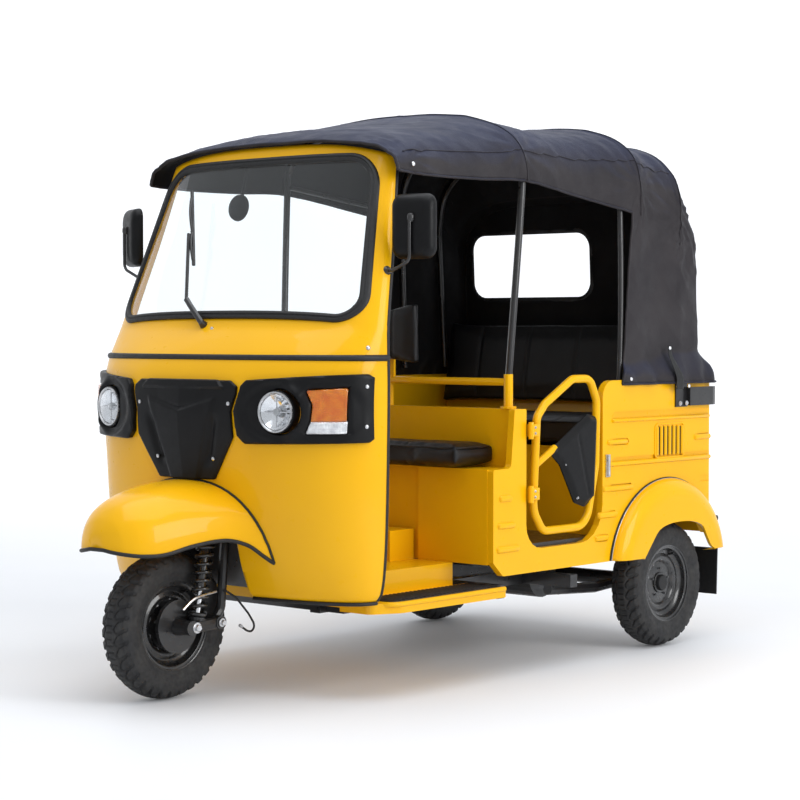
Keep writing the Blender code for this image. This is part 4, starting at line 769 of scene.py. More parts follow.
def make_cowl_trim():
    """Door seals down the cowl's rear edges, the belt moulding, and the edge strip under its foot."""
    seal = [rear_edge(height, -0.004) for height in spread(COWL_BASE_Z + 0.01, 1.715, 60)]
    make_piece("door_seals", "rubber", [(add_tube, path, 0.0075) for path in (seal, mirrored(seal))])
    make_piece("belt_moulding", "rubber", [(add_tube, cowl_outline(BELT_Z, 0.0015), 0.0105, 12)])
    left = [point for point in cowl_outline(COWL_BASE_Z + 0.002, -0.005, 161) if point.x > ARCH_HALF]
    make_piece("cowl_foot_strip", "rubber", [(add_tube, path, 0.006, 8) for path in (left, mirrored(left))])


# ---------------------------------------------------------------- canopy

# place, crown under ROOF_Z, half width over BODY_HALF, height where the side begins, roundness
CANOPY_ROWS = (
    (FRONT_AXLE_Y + 0.478, 0.150, -0.022, 1.690, 2.8),
    (FRONT_AXLE_Y + 0.536, 0.120, -0.022, 1.686, 2.8),
    (FRONT_AXLE_Y + 0.660, 0.084, -0.022, 1.682, 2.7),
    (FRONT_AXLE_Y + 0.900, 0.046, -0.024, 1.684, 2.6),
    (REAR_AXLE_Y - 0.850, 0.012, -0.026, 1.690, 2.65),
    (REAR_AXLE_Y - 0.510, 0.014, -0.022, 1.648, 2.9),
    (REAR_AXLE_Y - 0.180, 0.022, -0.016, 1.600, 3.4),
    (REAR_AXLE_Y - 0.050, 0.050, -0.014, 1.560, 3.5),
    (REAR_AXLE_Y + 0.070, 0.070, -0.006, 1.500, 3.7),
    (REAR_AXLE_Y + 0.128, 0.150, -0.010, 1.440, 3.7),
    (REAR_AXLE_Y + 0.168, 0.240, -0.014, 1.400, 3.7),
)
HOOP_PLACES = (REAR_AXLE_Y - 0.850, REAR_AXLE_Y - 0.180, REAR_AXLE_Y + 0.070)
CANOPY_FRONT = CANOPY_ROWS[0][0]
CANOPY_END = CANOPY_ROWS[-1][0]
CORNER_RADIUS = 0.030
CURTAIN_PLACE = REAR_AXLE_Y - 0.226
SKIRT_Z = 0.985
SEAM_X = 0.555
WINDOW = (-0.512, 0.078, 1.312, 1.568)
ROOF_COLUMNS = 141
CURTAIN_ROWS = 60
SNAP = ((0, 4.5), (2.625, 4.2), (5.25, 3), (6.75, 1.4), (7.5, 0), (7.5, -1), (0, -1))
SNAP_PLACES = (
    (0.585, -0.466, 1.712), (0.6135, 0.716, 1.003), (0.609, 0.972, 1.114), (0.6265, 0.996, 0.972),
    (0.6265, 1.075, 0.972),
)
STRAP_ROUTE = (
    (0.606, 0.972, 1.122), (0.611, 0.974, 1.085), (0.627, 0.988, 1.040), (0.634, 1.002, 1.005),
    (0.631, 1.006, 0.962),
)
REAR_POST = ((0.556, 0.722, 1.640), (0.560, 0.724, 1.40), (0.563, 0.718, 1.15), (0.566, 0.705, 0.975))
# front, rear and depth of the cloth's sag in each span
SAGS = (
    (CANOPY_FRONT + 0.02, HOOP_PLACES[0], 0.013), (HOOP_PLACES[0], HOOP_PLACES[1], 0.026),
    (HOOP_PLACES[1], HOOP_PLACES[2], 0.016), (HOOP_PLACES[2], CANOPY_END, 0.004),
)
# place, height, size and number of the creases that run out from a point under tension
FOLDS = (
    *((place, 1.80 - 0.09 * k, 0.0035, 11 + 2 * k) for k, place in enumerate(HOOP_PLACES)),
    (CANOPY_FRONT + 0.05, 1.72, 0.0045, 15), (REAR_AXLE_Y + 0.17, 1.56, 0.004, 12),
)


def canopy_shape(place, tuck=0.0):
    """Crown height, half width, side height and roundness of the canopy at a place."""
    drop, wide, side_z, roundness = smooth_row(CANOPY_ROWS, place)
    return ROOF_Z - drop - tuck, BODY_HALF + wide - tuck, side_z, roundness


def lean(place, height, crown):
    """The canopy's back leans: low points lie further back, the skirt's most of all."""
    back = 0.05 * (crown - height) + 0.048 * ease(1.15 - height, 0.0, 0.15)
    return place + back * ease(place, REAR_AXLE_Y + 0.08, REAR_AXLE_Y + 0.16)


def flare(place, height):
    """How far the skirt stands out at a height: it laps over the side panel, and spreads towards the back."""
    spreading = ease(place, CURTAIN_PLACE - 0.02, REAR_AXLE_Y + 0.12)
    top = 1.065 + 0.050 * spreading
    return (0.0280 + 0.0060 * spreading) * ease(top - height, 0.0, 0.055 + 0.075 * spreading)


def roof_arc(place, tuck=0.0, back=0.0):
    """The canopy's section over the top, from its left side to its right one."""
    crown, half, side_z, roundness = canopy_shape(place, tuck)
    points = []
    for i in range(241):
        across, up = oval_point(math.pi * i / 240, 2 / roundness)
        points.append((half * across, 0.0, side_z + (crown - side_z) * up))
    return [Vector((p.x, lean(place, p.z, crown) + back, p.z)) for p in evenly(points, ROOF_COLUMNS)]


def curtain_column(place, side, tuck=0.0, back=0.0):
    """The canopy's side below the roof, from where it begins down to the skirt."""
    crown, half, side_z, _ = canopy_shape(place, tuck)
    column = []
    for height in spread(side_z, SKIRT_Z, CURTAIN_ROWS):
        out = flare(place, height)
        ahead = 0.055 * (side_z - height) / 0.61 + 1.15 * out
        ahead *= 1 - ease(place, CURTAIN_PLACE, CURTAIN_PLACE + 0.26)
        y = lean(place, height, crown) - ahead + back + out * back / CORNER_RADIUS
        column.append(Vector((side * (half + out), y, height)))
    return column


def sag(place):
    """How far the cloth hangs in between the hoops."""
    for low, high, depth in SAGS:
        if low < place < high:
            return depth * math.sin(math.pi * (place - low) / (high - low)) ** 1.4
    return 0.0


def folds(point, side_share):
    """Creases that run from the hoops' shoulders and the front corners into the cloth."""
    total = 0.0
    for place, height, size, spokes in FOLDS:
        dy, dz = point.y - place, point.z - height
        reach = math.hypot(dy, dz)
        turn = math.atan2(dz, dy) + 0.6 * noise.noise(Vector((place, reach * 5, 0)))
        total += size * bell(reach, 0.24) * ease(reach, 0.01, 0.07) * math.sin(turn * spokes) ** 3
    return total * side_share


def canopy_relief(point):
    """How far the cloth stands out from its plain shape at a point."""
    side_share = ease(abs(point.x), 0.30, 0.52)
    out = -sag(point.y) * (1 - 0.55 * side_share)
    for place in HOOP_PLACES:
        out += 0.0045 * bell(point.y - place, 0.011) * ease(point.z, 1.35, 1.70)
    out += folds(point, side_share)
    slow = noise.noise(Vector((point.x * 3.0, point.y * 5.0, point.z * 4.0)))
    quick = noise.noise(Vector((point.x * 12.0 + 7, point.y * 16.0, point.z * 7.0)))
    drift = noise.noise(Vector((point.x * 5.0, point.y * 9.0 + point.z * 6.0, point.z * 3.0 + 4)))
    out += 0.0030 * slow + 0.0012 * quick + 0.0018 * max(1 - 3.2 * abs(drift), 0.0) ** 3
    skirt = ease(1.14 - point.z, 0.0, 0.15)
    around = point.y * 46 if abs(point.x) > 0.5 else point.x * 46
    out += 0.0065 * skirt * math.sin(around + 3 * noise.noise(point * 5))
    drawn = bell(point.z - 1.105, 0.020) * ease(point.y, 0.93, 0.97)
    return out - 0.006 * drawn


def displace(bm, relief):
    """Moves every vertex out by relief(its place)."""
    bm.normal_update()
    moves = [(vert, vert.normal.copy() * relief(vert.co)) for vert in bm.verts]
    for vert, move in moves:
        vert.co += move


def canopy_places():
    """Where the canopy's sections are: closer together beside the hoops."""
    places = {*spread(CANOPY_FRONT, CANOPY_END, 130), CURTAIN_PLACE}
    for hoop in HOOP_PLACES:
        places.update(hoop + step * 0.0045 for step in range(-4, 5))
    return sorted(places)


def corner_turn(step, steps=6):
    """Tuck and setback of the canopy's round rear edge."""
    angle = math.pi / 2 * step / steps
    return CORNER_RADIUS * (1 - math.cos(angle)), CORNER_RADIUS * math.sin(angle)


def canopy_mesh():
    """The canopy's roof, curtains and back as one displaced sheet."""
    sections = [(place, 0.0, 0.0) for place in canopy_places()]
    sections += [(CANOPY_END, *corner_turn(step)) for step in range(1, 7)]
    bm = bmesh.new()
    add_grid(bm, [roof_arc(*section) for section in sections])
    curtains = [section for section in sections if section[0] >= CURTAIN_PLACE]
    for side in (1, -1):
        add_grid(bm, [curtain_column(place, side, *turn) for place, *turn in curtains])
    add_rear_wall(bm)
    bmesh.ops.remove_doubles(bm, verts=bm.verts, dist=1e-5)
    bmesh.ops.recalc_face_normals(bm, faces=bm.faces)
    top = max(bm.faces, key=lambda face: face.calc_center_median().z)
    if top.normal.z < 0:
        bmesh.ops.reverse_faces(bm, faces=bm.faces)
    displace(bm, canopy_relief)
    return bm


def make_canopy():
    """The canvas canopy with its lining inside; the girth at the curtains and the roof's length with its
    back's drop are measured, but nothing uses them.
    """
    bm = canopy_mesh()
    area = sum(face.calc_area() for face in bm.faces)
    canopy = finish_mesh("canopy_cloth", bm, "canvas", replaces=["canopy"], sharp=80)
    canopy.data.materials.append(MATERIALS["lining"])
    solidify(canopy, 0.003, inner=1)
    arc = roof_arc(CURTAIN_PLACE)
    over = sum((b - a).length for a, b in zip(arc, arc[1:]))
    length = CANOPY_END - CANOPY_FRONT + canopy_shape(CANOPY_END)[0] - SKIRT_Z


def window_outline(grow):
    left, right, low, high = WINDOW
    return rounded_box(left - grow, low - grow, right + grow, high + grow, 0.062 + grow)


def add_rear_wall(bm):
    """The canopy's back, with its window left open."""
    tuck, back = corner_turn(6)
    crown, half, side_z, roundness = canopy_shape(CANOPY_END, tuck)
    left, right, low, high = WINDOW
    outline = window_outline(0.006)
    rows = []
    for height in sorted({*spread(SKIRT_Z, crown, 52), low, high}):
        row = []
        for x in sorted({*spread(-half, half, 81), left, right}):
            top = side_z + (crown - side_z) * (1 - min(abs(x) / half, 1) ** roundness) ** (1 / roundness)
            z = min(height, top)
            out = flare(CANOPY_END, z)
            row.append(Vector((x * (1 + out / half), lean(CANOPY_END, z, crown) + back + out, z)))
        rows.append(row)

    def kept(corners):
        middle = sum(corners, Vector()) / 4
        return not inside_outline(outline, middle.x, middle.z)

    part = bmesh.new()
    add_grid(part, rows, keep=kept)
    bmesh.ops.dissolve_degenerate(part, edges=part.edges, dist=1e-5)
    drop_loose(part)
    join(bm, part)


def on_cloth(place, share, out=0.0):
    """A point on the finished roof cloth, by place and by share of its arc from the left side."""
    k = min(max(round(share * (ROOF_COLUMNS - 1)), 1), ROOF_COLUMNS - 2)
    arc = roof_arc(place)
    ahead, behind = roof_arc(place - 0.006)[k], roof_arc(place + 0.006)[k]
    normal = (arc[k + 1] - arc[k - 1]).cross(behind - ahead).normalized()
    if normal.dot(arc[k] - Vector((0, place, 1.3))) < 0:
        normal = -normal
    edge = 0 if share <= 0 else ROOF_COLUMNS - 1 if share >= 1 else k
    return arc[edge] + normal * (canopy_relief(arc[edge]) + out)


def seam_share(place):
    """Where the seam between roof and side runs, as a share of the arc."""
    arc = roof_arc(place)
    return next(k for k in range(ROOF_COLUMNS) if arc[k].x < SEAM_X) / (ROOF_COLUMNS - 1)


def make_canopy_seams():
    """Welts on the hoops and along the shoulders, rolled hems, and the window's border."""
    welts = []
    for place in HOOP_PLACES:
        line = [on_cloth(place, share, 0.0006) for share in spread(0.0, 1.0, 71)]
        welts.append((add_tube, line, 0.003, 8, False, 0.55))
    shares = [(place, seam_share(place)) for place in spread(CANOPY_FRONT + 0.05, CANOPY_END - 0.02, 70)]
    welts.append((add_tube, [on_cloth(place, share, 0.0006) for place, share in shares], 0.0024, 8))
    welts.append((add_tube, [on_cloth(place, 1 - share, 0.0006) for place, share in shares], 0.0024, 8))
    make_piece("canopy_welts", "canvas", welts)

    hems = [(add_tube, [on_cloth(CANOPY_FRONT, share, -0.001) for share in spread(0.0, 1.0, 81)], 0.006, 10)]
    for share in (0.0, 1.0):
        edge = [on_cloth(place, share, -0.001) for place in spread(CANOPY_FRONT, CURTAIN_PLACE, 60)]
        hems.append((add_tube, edge, 0.0045, 8))
    for side in (1, -1):
        column = [relieved(point, (side, 0, 0)) for point in curtain_column(CURTAIN_PLACE, side)]
        hems.append((add_tube, column, 0.0045, 8))
    hems.append((add_tube, skirt_path(), 0.0042, 8))
    make_piece("canopy_hems", "canvas", hems)

    crown = canopy_shape(CANOPY_END, CORNER_RADIUS)[0]
    border = [(x, lean(CANOPY_END, z, crown) + CORNER_RADIUS + 0.0015, z) for x, z in window_outline(0.011)]
    border = resampled(border, 0.02, closed=True)
    make_piece("window_border", "rubber", [(add_tube, border, 0.013, 10, True, 0.30, (0, 1, 0))])


def relieved(point, direction):
    """A point of the canopy's plain shape, moved out as far as the cloth is there."""
    return point + Vector(direction) * canopy_relief(point)


def skirt_path():
    """The skirt's lower edge from the left curtain round the back to the right one."""
    left = [curtain_column(place, 1)[-1] for place in spread(CURTAIN_PLACE, CANOPY_END, 40)]
    left += [curtain_column(CANOPY_END, 1, *corner_turn(step))[-1] for step in range(1, 7)]
    right = mirrored(left)[::-1]
    back = [left[-1].lerp(right[0], i / 60) for i in range(1, 60)]
    turn_y = left[-4].y
    return [relieved(point, (math.copysign(1, point.x), 0, 0) if point.y < turn_y else (0, 1, 0))
            for point in left + back + right]


def make_canopy_fittings():
    """Studs that hold the cloth, and the strap that pulls the skirt down over the corner plate."""
    studs = []
    for side in (1, -1):
        studs += [(add_turned, SNAP, place, (side, 0, 0), 20) for place in on_side(side, SNAP_PLACES)]
    make_piece("canopy_studs", "chrome", studs)
    for suffix, side in SIDES:
        rows = []
        for i, point in enumerate(curve_through(on_side(side, STRAP_ROUTE), 24)):
            width = 0.009 + 0.014 * ease(i / 23, 0.1, 0.8)
            rows.append([point + Vector((0, width * share, 0)) for share in spread(-1, 1, 7)])
        solidify(make_piece("skirt_strap_" + suffix, "rubber", [(add_grid, rows)]), 0.0025, 0.0)


def make_canopy_frame():
    """Bent tubes under the cloth: three hoops, the front posts, and the side and rear rails."""
    tubes = []
    feet = [(0.535, PARTITION_Y - 0.0175, 1.0), *((0.566, place + 0.02, 1.03) for place in HOOP_PLACES[1:])]
    for place, foot, radius in zip(HOOP_PLACES, feet, (0.0125, 0.011, 0.011)):
        arc = roof_arc(place, tuck=0.017)
        path = curve_through([foot, *arc[::10], (-foot[0], foot[1], foot[2])], 180)
        tubes.append((add_tube, path, radius, 12))
    rail = ((0.545, HOOP_PLACES[0], 1.715), (0.545, HOOP_PLACES[1], 1.640))
    for side in (1, -1):
        tubes.append((add_tube, curve_through(on_side(side, REAR_POST), 40), 0.0105, 12))
        tubes.append((add_tube, on_side(side, rail), 0.009))
    make_piece("canopy_tubes", "black_paint", tubes, replaces=["canopy_frame"])


# ---------------------------------------------------------------- seats

def box_mesh(low, high, step):
    """A box of even quads, ready to be filled."""
    bm = bmesh.new()
    size = [b - a for a, b in zip(low, high)]
    counts = [max(2, round(length / step)) for length in size]
    for axis in range(3):
        a, b = [other for other in range(3) if other != axis]
        for end in (0.0, 1.0):
            rows = []
            for i in range(counts[a] + 1):
                row = []
                for j in range(counts[b] + 1):
                    place = [0.0, 0.0, 0.0]
                    place[axis], place[a], place[b] = end, i / counts[a], j / counts[b]
                    row.append(Vector([low[k] + place[k] * size[k] for k in range(3)]))
                rows.append(row)
            add_grid(bm, rows)
    bmesh.ops.remove_doubles(bm, verts=bm.verts, dist=1e-5)
    bmesh.ops.recalc_face_normals(bm, faces=bm.faces)
    return bm


def applied(piece):
    """Works the piece's modifiers into its mesh."""
    view = bpy.context.evaluated_depsgraph_get()
    mesh = bpy.data.meshes.new_from_object(piece.evaluated_get(view), depsgraph=view)
    piece.modifiers.clear()
    old, piece.data = piece.data, mesh
    bpy.data.meshes.remove(old)


def puff(piece, limit, pressure=4.0, frames=20):
    """Fills a cover with its stuffing: a cloth run under pressure, held to a small movement."""
    before = [vert.co.copy() for vert in piece.data.vertices]
    cloth = piece.modifiers.new("stuffing", "CLOTH")
    cloth.settings.quality = 5
    cloth.settings.mass = 0.3
    cloth.settings.tension_stiffness = 18
    cloth.settings.compression_stiffness = 18
    cloth.settings.bending_stiffness = 0.6
    cloth.settings.use_pressure = True
    cloth.settings.uniform_pressure_force = pressure
    cloth.settings.effector_weights.gravity = 0.0
    cloth.collision_settings.use_collision = False
    cloth.point_cache.frame_start = 1
    cloth.point_cache.frame_end = frames
    scene = bpy.context.scene
    for number in range(1, frames + 1):
        scene.frame_set(number)
    applied(piece)
    scene.frame_set(1)
    for vert, start in zip(piece.data.vertices, before):
        move = vert.co - start
        if move.length > limit:
            vert.co = start + move * (limit / move.length)


def fit_between(piece, low, high):
    """Scales the cover so that it just fills its box."""
    verts = piece.data.vertices
    for axis in range(3):
        lowest = min(vert.co[axis] for vert in verts)
        highest = max(vert.co[axis] for vert in verts)
        scale = (high[axis] - low[axis]) / (highest - lowest)
        for vert in verts:
            vert.co[axis] = low[axis] + (vert.co[axis] - lowest) * scale


def cushion(name, node, low, high, seams, depth, rest_turn=0.0):
    """A stuffed vinyl cushion with its channels, sewn across it at each place in seams."""
    piece = finish_mesh(name, box_mesh(low, high, 0.0125), "seat_vinyl", replaces=[node], sharp=180)
    puff(piece, 0.024)
    fit_between(piece, low, high)
    soft = piece.modifiers.new("corners", "SUBSURF")
    soft.levels = soft.render_levels = 1
    applied(piece)
    middle = (Vector(low) + Vector(high)) / 2
    thin = 2 if high[2] - low[2] < high[1] - low[1] else 1
    for vert in piece.data.vertices:
        for place in seams:
            edge = (vert.co[thin] - middle[thin]) / (high[thin] - low[thin]) * 2
            channel = bell(vert.co.x - place, 0.0065) * ease(abs(edge), 0.4, 0.9)
            vert.co[thin] -= math.copysign(depth, edge) * channel
        vert.co.z += 0.0012 * noise.noise(vert.co * 9)
    piece.data.shade_smooth()
    if rest_turn:
        pivot = Matrix.Translation(middle)
        piece.data.transform(pivot @ Matrix.Rotation(rest_turn, 4, "X") @ pivot.inverted())


def piping(name, left, front, rear, height):
    """A sewn cord round a cushion's upper edge."""
    outline = rounded_box(left, front, -left, rear, 0.022)
    path = resampled([(x, y, height) for x, y in outline], 0.012, closed=True)
    make_piece(name, "seat_vinyl", [(add_tube, path, 0.0038, 8, True)])


def make_seats():
    """The driver's cushion and back pad, and the passenger bench."""
    cushion("driver_cushion", "driver_seat", (-0.496, -0.140, 0.716), (0.496, 0.068, 0.799),
            (-0.25, 0.0, 0.25), 0.004)
    piping("driver_cushion_cord", -0.488, -0.132, 0.060, 0.783)
    cushion("driver_back_pad", "driver_backrest", (-0.157, 0.034, 1.067), (0.157, 0.082, 1.273),
            (-0.055, 0.055), 0.003)
    cushion("bench_cushion", "passenger_seat", (-0.566, 0.523, 0.765), (0.566, 1.047, 0.869),
            spread(-0.4, 0.4, 5), 0.005)
    piping("bench_cushion_cord", -0.556, 0.531, 1.040, 0.850)
    cushion("bench_back", "passenger_backrest", (-0.537, 1.045, 0.890), (0.537, 1.105, 1.214),
            spread(-0.36, 0.36, 4), 0.005, math.radians(-10.0))


# ---------------------------------------------------------------- wheels

TREAD_CROWN = 0.2358
TYRE_HALF = 0.061
TREAD_LUGS = 34
TYRE_STEPS = 340
TREAD_DEPTH = 0.0075
# radius and place across of a tyre's side, from its bead to its tread
TYRE_SECTION = (
    (0.1385, 0.0440), (0.1440, 0.0500), (0.1520, 0.0530), (0.1660, 0.0575), (0.1820, 0.0605),
    (0.1960, 0.0598), (0.2060, 0.0572), (0.2140, 0.0535), (0.2190, 0.0500), (0.2270, 0.0420),
    (0.2320, 0.0300), (0.2345, 0.0150),
)
RIM_LIP = (
    (138.5, 47.5), (142.5, 49), (144, 47.5), (140.5, 45), (134.5, 44), (129, 42), (127, 33), (124, 24),
    (115, 18), (110, 16.5),
)
RIM_DISC = (
    (110, 16.5), (104, 19), (96, 21.5), (84, 18), (72, 6), (60, 1), (45, 1), (40, 6), (38.5, 15),
    (34, 18.5), (0, 19),
)
RIM_BACK = [(110, -4), (60, -12), (0, -12)]
RIM_STUD = ((0, -3.5), (7, -3), (7.2, 0), (9.5, 1.2), (10.5, -1))
WHEEL_NUT = ((11, 0), (11, 1.5), (8, 1.6), (7.8, 9.5), (5.8, 11.8), (4.2, 11.8), (4, 18.5), (0, 19))
HUB_CAP = ((30, 15), (30, 26), (27, 31), (15, 33), (0, 33.5))
VALVE = ((4.5, -10), (4.2, 16), (3, 22), (0, 22))


def wheel_point(centre, across, radius, angle):
    """A point of a wheel, by its place across, radius and angle about the axle."""
    return Vector(centre) + Vector((across, radius * math.cos(angle), radius * math.sin(angle)))


def tread_depth(across, angle):
    """How deep the tread is cut: slanted lugs on the shoulders and two waved grooves between."""
    share = abs(across) / TYRE_HALF
    turn = angle * TREAD_LUGS / math.tau + math.copysign(0.85, across) * share + (0.5 if across > 0 else 0.0)
    lug = abs((turn % 1.0) - 0.5) * 2
    lugs = ease(lug, 0.62, 0.78) * ease(share, 0.36, 0.46)
    wave = 0.030 + 0.006 * math.sin(angle * TREAD_LUGS)
    groove = bell(share - wave / TYRE_HALF * 0.75, 0.055) ** 2
    slit = abs((angle * 2 * TREAD_LUGS / math.tau % 1.0) - 0.5) * 2
    sipe = ease(slit, 0.86, 0.94) * (1 - ease(share, 0.16, 0.24))
    return max(lugs, groove, 0.5 * sipe)


def make_tyre(name, node, body, centre):
    """A tyre with its tread and two fine ribs round each side wall."""
    side = [(r, across) for r, across in smooth_profile(TYRE_SECTION, 46) if across > 0.047 and r < 0.222]
    tread = [(TREAD_CROWN - 13.5 * abs(across) ** 2.2, across) for across in spread(0.0465, -0.0465, 33)]
    section = side + tread + [(radius, -across) for radius, across in side[::-1]]
    rows = []
    for k in range(TYRE_STEPS):
        angle = math.tau * k / TYRE_STEPS
        row = []
        for radius, across in section:
            depth = TREAD_DEPTH * tread_depth(across, angle) * ease(radius, 0.205, 0.216)
            rib = 0.0009 * bell(radius - 0.176, 0.0022) + 0.0009 * bell(radius - 0.158, 0.0016)
            row.append(wheel_point(centre, across + math.copysign(rib, across), radius - depth, angle))
        rows.append(row)
    make_piece(name, "tyre", [(add_grid, rows, True)], body=body, replaces=[node], sharp=35)


def make_rim(name, node, body, centre, outward):
    """A pressed steel rim: bead seat, dished disc, studs and wheel nuts, hub cap and valve."""
    axis = (outward, 0, 0)
    lip, disc = smooth_profile(RIM_LIP, 40), smooth_profile(RIM_DISC, 60)
    make_piece(name, "wheel_steel", [
        (add_turned, lip + disc[1:], centre, axis, 96),
        (add_turned, lip + RIM_BACK, centre, (-outward, 0, 0), 96)], body=body, replaces=[node], sharp=50)
    fixings = []
    for profile, count, turn, radius, out, sides in ((RIM_STUD, 10, 0.5, 0.0905, 0.0185, 20),
                                                     (WHEEL_NUT, 5, 0.25, 0.0525, 0.0012, 6)):
        for k in range(count):
            spot = wheel_point(centre, outward * out, radius, math.tau * (k + turn) / count)
            fixings.append((add_turned, profile, spot, axis, sides))
    make_piece(name + "_studs", "wheel_nuts", fixings, body=body)
    valve = wheel_point(centre, outward * 0.022, 0.116, 1.1)
    caps = [(add_turned, HUB_CAP, centre, axis, 40), (add_turned, VALVE, valve, (outward, -0.1, 0.2), 12)]
    make_piece(name + "_cap", "rubber", caps, body=body)


def make_wheels():
    for name, body, x, y, outward in (
            ("front", "front_wheel", 0.0, FRONT_AXLE_Y, 1),
            ("rear_left", "rear_wheel_left", TRACK / 2, REAR_AXLE_Y, 1),
            ("rear_right", "rear_wheel_right", -TRACK / 2, REAR_AXLE_Y, -1)):
        centre = (x, y, AXLE_Z)
        make_tyre("tread_" + name, "tyre_" + name, body, centre)
        make_rim("wheel_" + name, "rim_" + name, body, centre, outward)


# ---------------------------------------------------------------- lamp panel

LAMP_FRONT_Y = FRONT_AXLE_Y + 0.110
LAMP_TURN = math.radians(10.0)
AMBER_FOOT_Z = 0.897
LENS_GAP = 0.0005
INDICATOR_X, INDICATOR_Z = 0.518, 0.925
MOULDING_FOOT = 0.0005
SCREW = ((0, 4.2), (3, 4), (6.2, 2.2), (6.6, -2), (0, -2))
REFLECTOR = (
    (0, 27.5), (12, 27), (20, 24.5), (34, 18), (47, 9), (57.5, 1), (59, 1), (59, 3.5), (47, 12),
    (20, 28.5), (0, 29),
)
LAMP_HOUSING = (
    (0, 52), (16, 52), (18, 50), (19, 36), (40, 29), (60, 15), (62, 6), (60, 5), (56, 13), (38, 26), (0, 32),
)
LAMP_RING = ((57.5, -0.5), (60, -3.5), (64, -3), (65, 1), (65, 6), (57.5, 6), (57.5, -0.5))
BULB_SHIELD = ((0, -0.5), (11, 0.5), (12.5, 6), (12.5, 15), (0, 16))
LAMP_LENS = (
    (0, -6.2), (20, -5.8), (40, -4.2), (52, -2), (58, 0.8), (58, 2.2), (50, 0.2), (38, -2.2),
    (20, -3.8), (0, -4.2),
)
LAMP_SLEEVE = ((65.5, 1), (68, 3), (68, 40), (62, 40), (62, 5), (65.5, 1))


def filled(outer, holes, step):
    """A flat region in (x, z) with holes, cut into small faces."""
    bm = bmesh.new()
    edges = []
    for loop in (outer, *holes):
        verts = [bm.verts.new((x, 0.0, z)) for x, z in loop]
        edges += [bm.edges.new((verts[i - 1], verts[i])) for i in range(len(verts))]
    bmesh.ops.triangle_fill(bm, edges=edges, use_beauty=True)
    for axis, normal in ((0, (1, 0, 0)), (2, (0, 0, 1))):
        values = [vert.co[axis] for vert in bm.verts]
        low, high = min(values), max(values)
        for place in spread(low, high, max(2, round((high - low) / step)))[1:-1]:
            cut(bm, Vector(normal) * place, normal)
    return bm


def skirted(bm, place):
    """Folds a flat region's rim down; place(a, b, is_low) tells where each point goes."""
    rim = [edge for edge in bm.edges if len(edge.link_faces) == 1]
    skirt = bmesh.ops.extrude_edge_only(bm, edges=rim)["geom"]
    low = {vert for vert in skirt if isinstance(vert, bmesh.types.BMVert)}
    for vert in bm.verts:
        vert.co = place(vert.co.x, vert.co.z, vert in low)
    return bm


def edge_distance(outline, x, z):
    """How far a point lies from a closed outline."""
    nearest = 1.0
    for (x0, z0), (x1, z1) in zip(outline, outline[1:] + outline[:1]):
        along = ((x - x0) * (x1 - x0) + (z - z0) * (z1 - z0)) / max((x1 - x0) ** 2 + (z1 - z0) ** 2, 1e-9)
        along = min(max(along, 0.0), 1.0)
        nearest = min(nearest, math.hypot(x - x0 - along * (x1 - x0), z - z0 - along * (z1 - z0)))
    return nearest


def round_over(distance, radius):
    """How far an edge of that radius has fallen at a distance from the outline."""
    share = 1 - min(distance / radius, 1.0)
    return radius * (1 - math.sqrt(max(1 - share * share, 0.0)))


def moulding(name, finish, loops, relief, replaces=(), step=0.006, edge=0.006):
    """A moulding on the cowl's face: relief(x, z) is its height over the cowl, with rounded edges."""
    def place(x, z, low):
        distance = min(edge_distance(loop, x, z) for loop in loops)
        return on_cowl(x, z, MOULDING_FOOT if low else relief(x, z) - round_over(distance, edge))[0]

    bm = skirted(filled(loops[0], loops[1:], step), place)
    finish_mesh(name, bm, finish, replaces=replaces, sharp=38)


def add_stud(bm, x, z, profile, out=0.0, count=16):
    """A turned head that stands on the cowl's face."""
    add_turned(bm, profile, *on_cowl(x, z, out), count)


def indicator_corners(side, inset):
    """The indicator's outline, hollow on its inner side."""
    outline = rounded([
        (0.466 + inset, 0.857 + inset, 0.004), (0.562 - inset, 0.857 + inset, 0.004),
        (0.564 - inset, 1.000 - inset, 0.004), (0.468 + inset, 0.992 - inset, 0.004),
        (0.486 + inset, 0.950, 0.03), (0.482 + inset, 0.900, 0.03)])
    return [(side * x, z) for x, z in outline]


def bezel_relief(x, z):
    """The bezel's height: a rim all round, hollows beside the headlamp and round the indicator."""
    x = abs(x)
    height = 0.0205 + 0.0030 * ease(0.97 - z, 0.0, 0.03) * ease(x, 0.25, 0.30) * ease(0.585 - x, 0.0, 0.03)
    reach = math.hypot((x - LAMP_X) * (1.0 if x > LAMP_X else 0.72), z - LAMP_Z)
    height -= 0.011 * ease(0.100 - reach, 0.0, 0.022) * ease(LAMP_X - x, -0.05, 0.03)
    height += 0.012 * bell(math.hypot(x - LAMP_X, z - LAMP_Z) - 0.074, 0.016) * ease(x, 0.385, 0.440)
    around = math.hypot(x - INDICATOR_X, (z - INDICATOR_Z) * 0.75)
    return height - 0.004 * ease(0.078 - around, 0.0, 0.010)


def make_bezel(suffix, side):
    """The black moulding round a headlamp and its indicator."""
    outline = rounded([
        (0.272, 1.020, 0.012), (0.254, 1.002, 0.010), (0.248, 0.975, 0.02), (0.231, 0.925, 0.03),
        (0.240, 0.850, 0.02), (0.268, 0.824, 0.015), (0.594, 0.829, 0.004), (0.5985, 0.840, 0.004),
        (0.5985, 1.032, 0.004), (0.592, 1.043, 0.004), (0.330, 1.024, 0.04)])
    angles = [math.tau * i / 48 for i in range(48)]
    reach = LAMP_RADIUS + 0.0038
    mouth = [(side * LAMP_X + reach * math.cos(angle), LAMP_Z + reach * math.sin(angle)) for angle in angles]
    loops = [[(side * x, z) for x, z in outline], mouth, indicator_corners(side, 0.0)]
    moulding("bezel_" + suffix, "black_plastic", loops, bezel_relief, ["lamp_bezel_" + suffix])


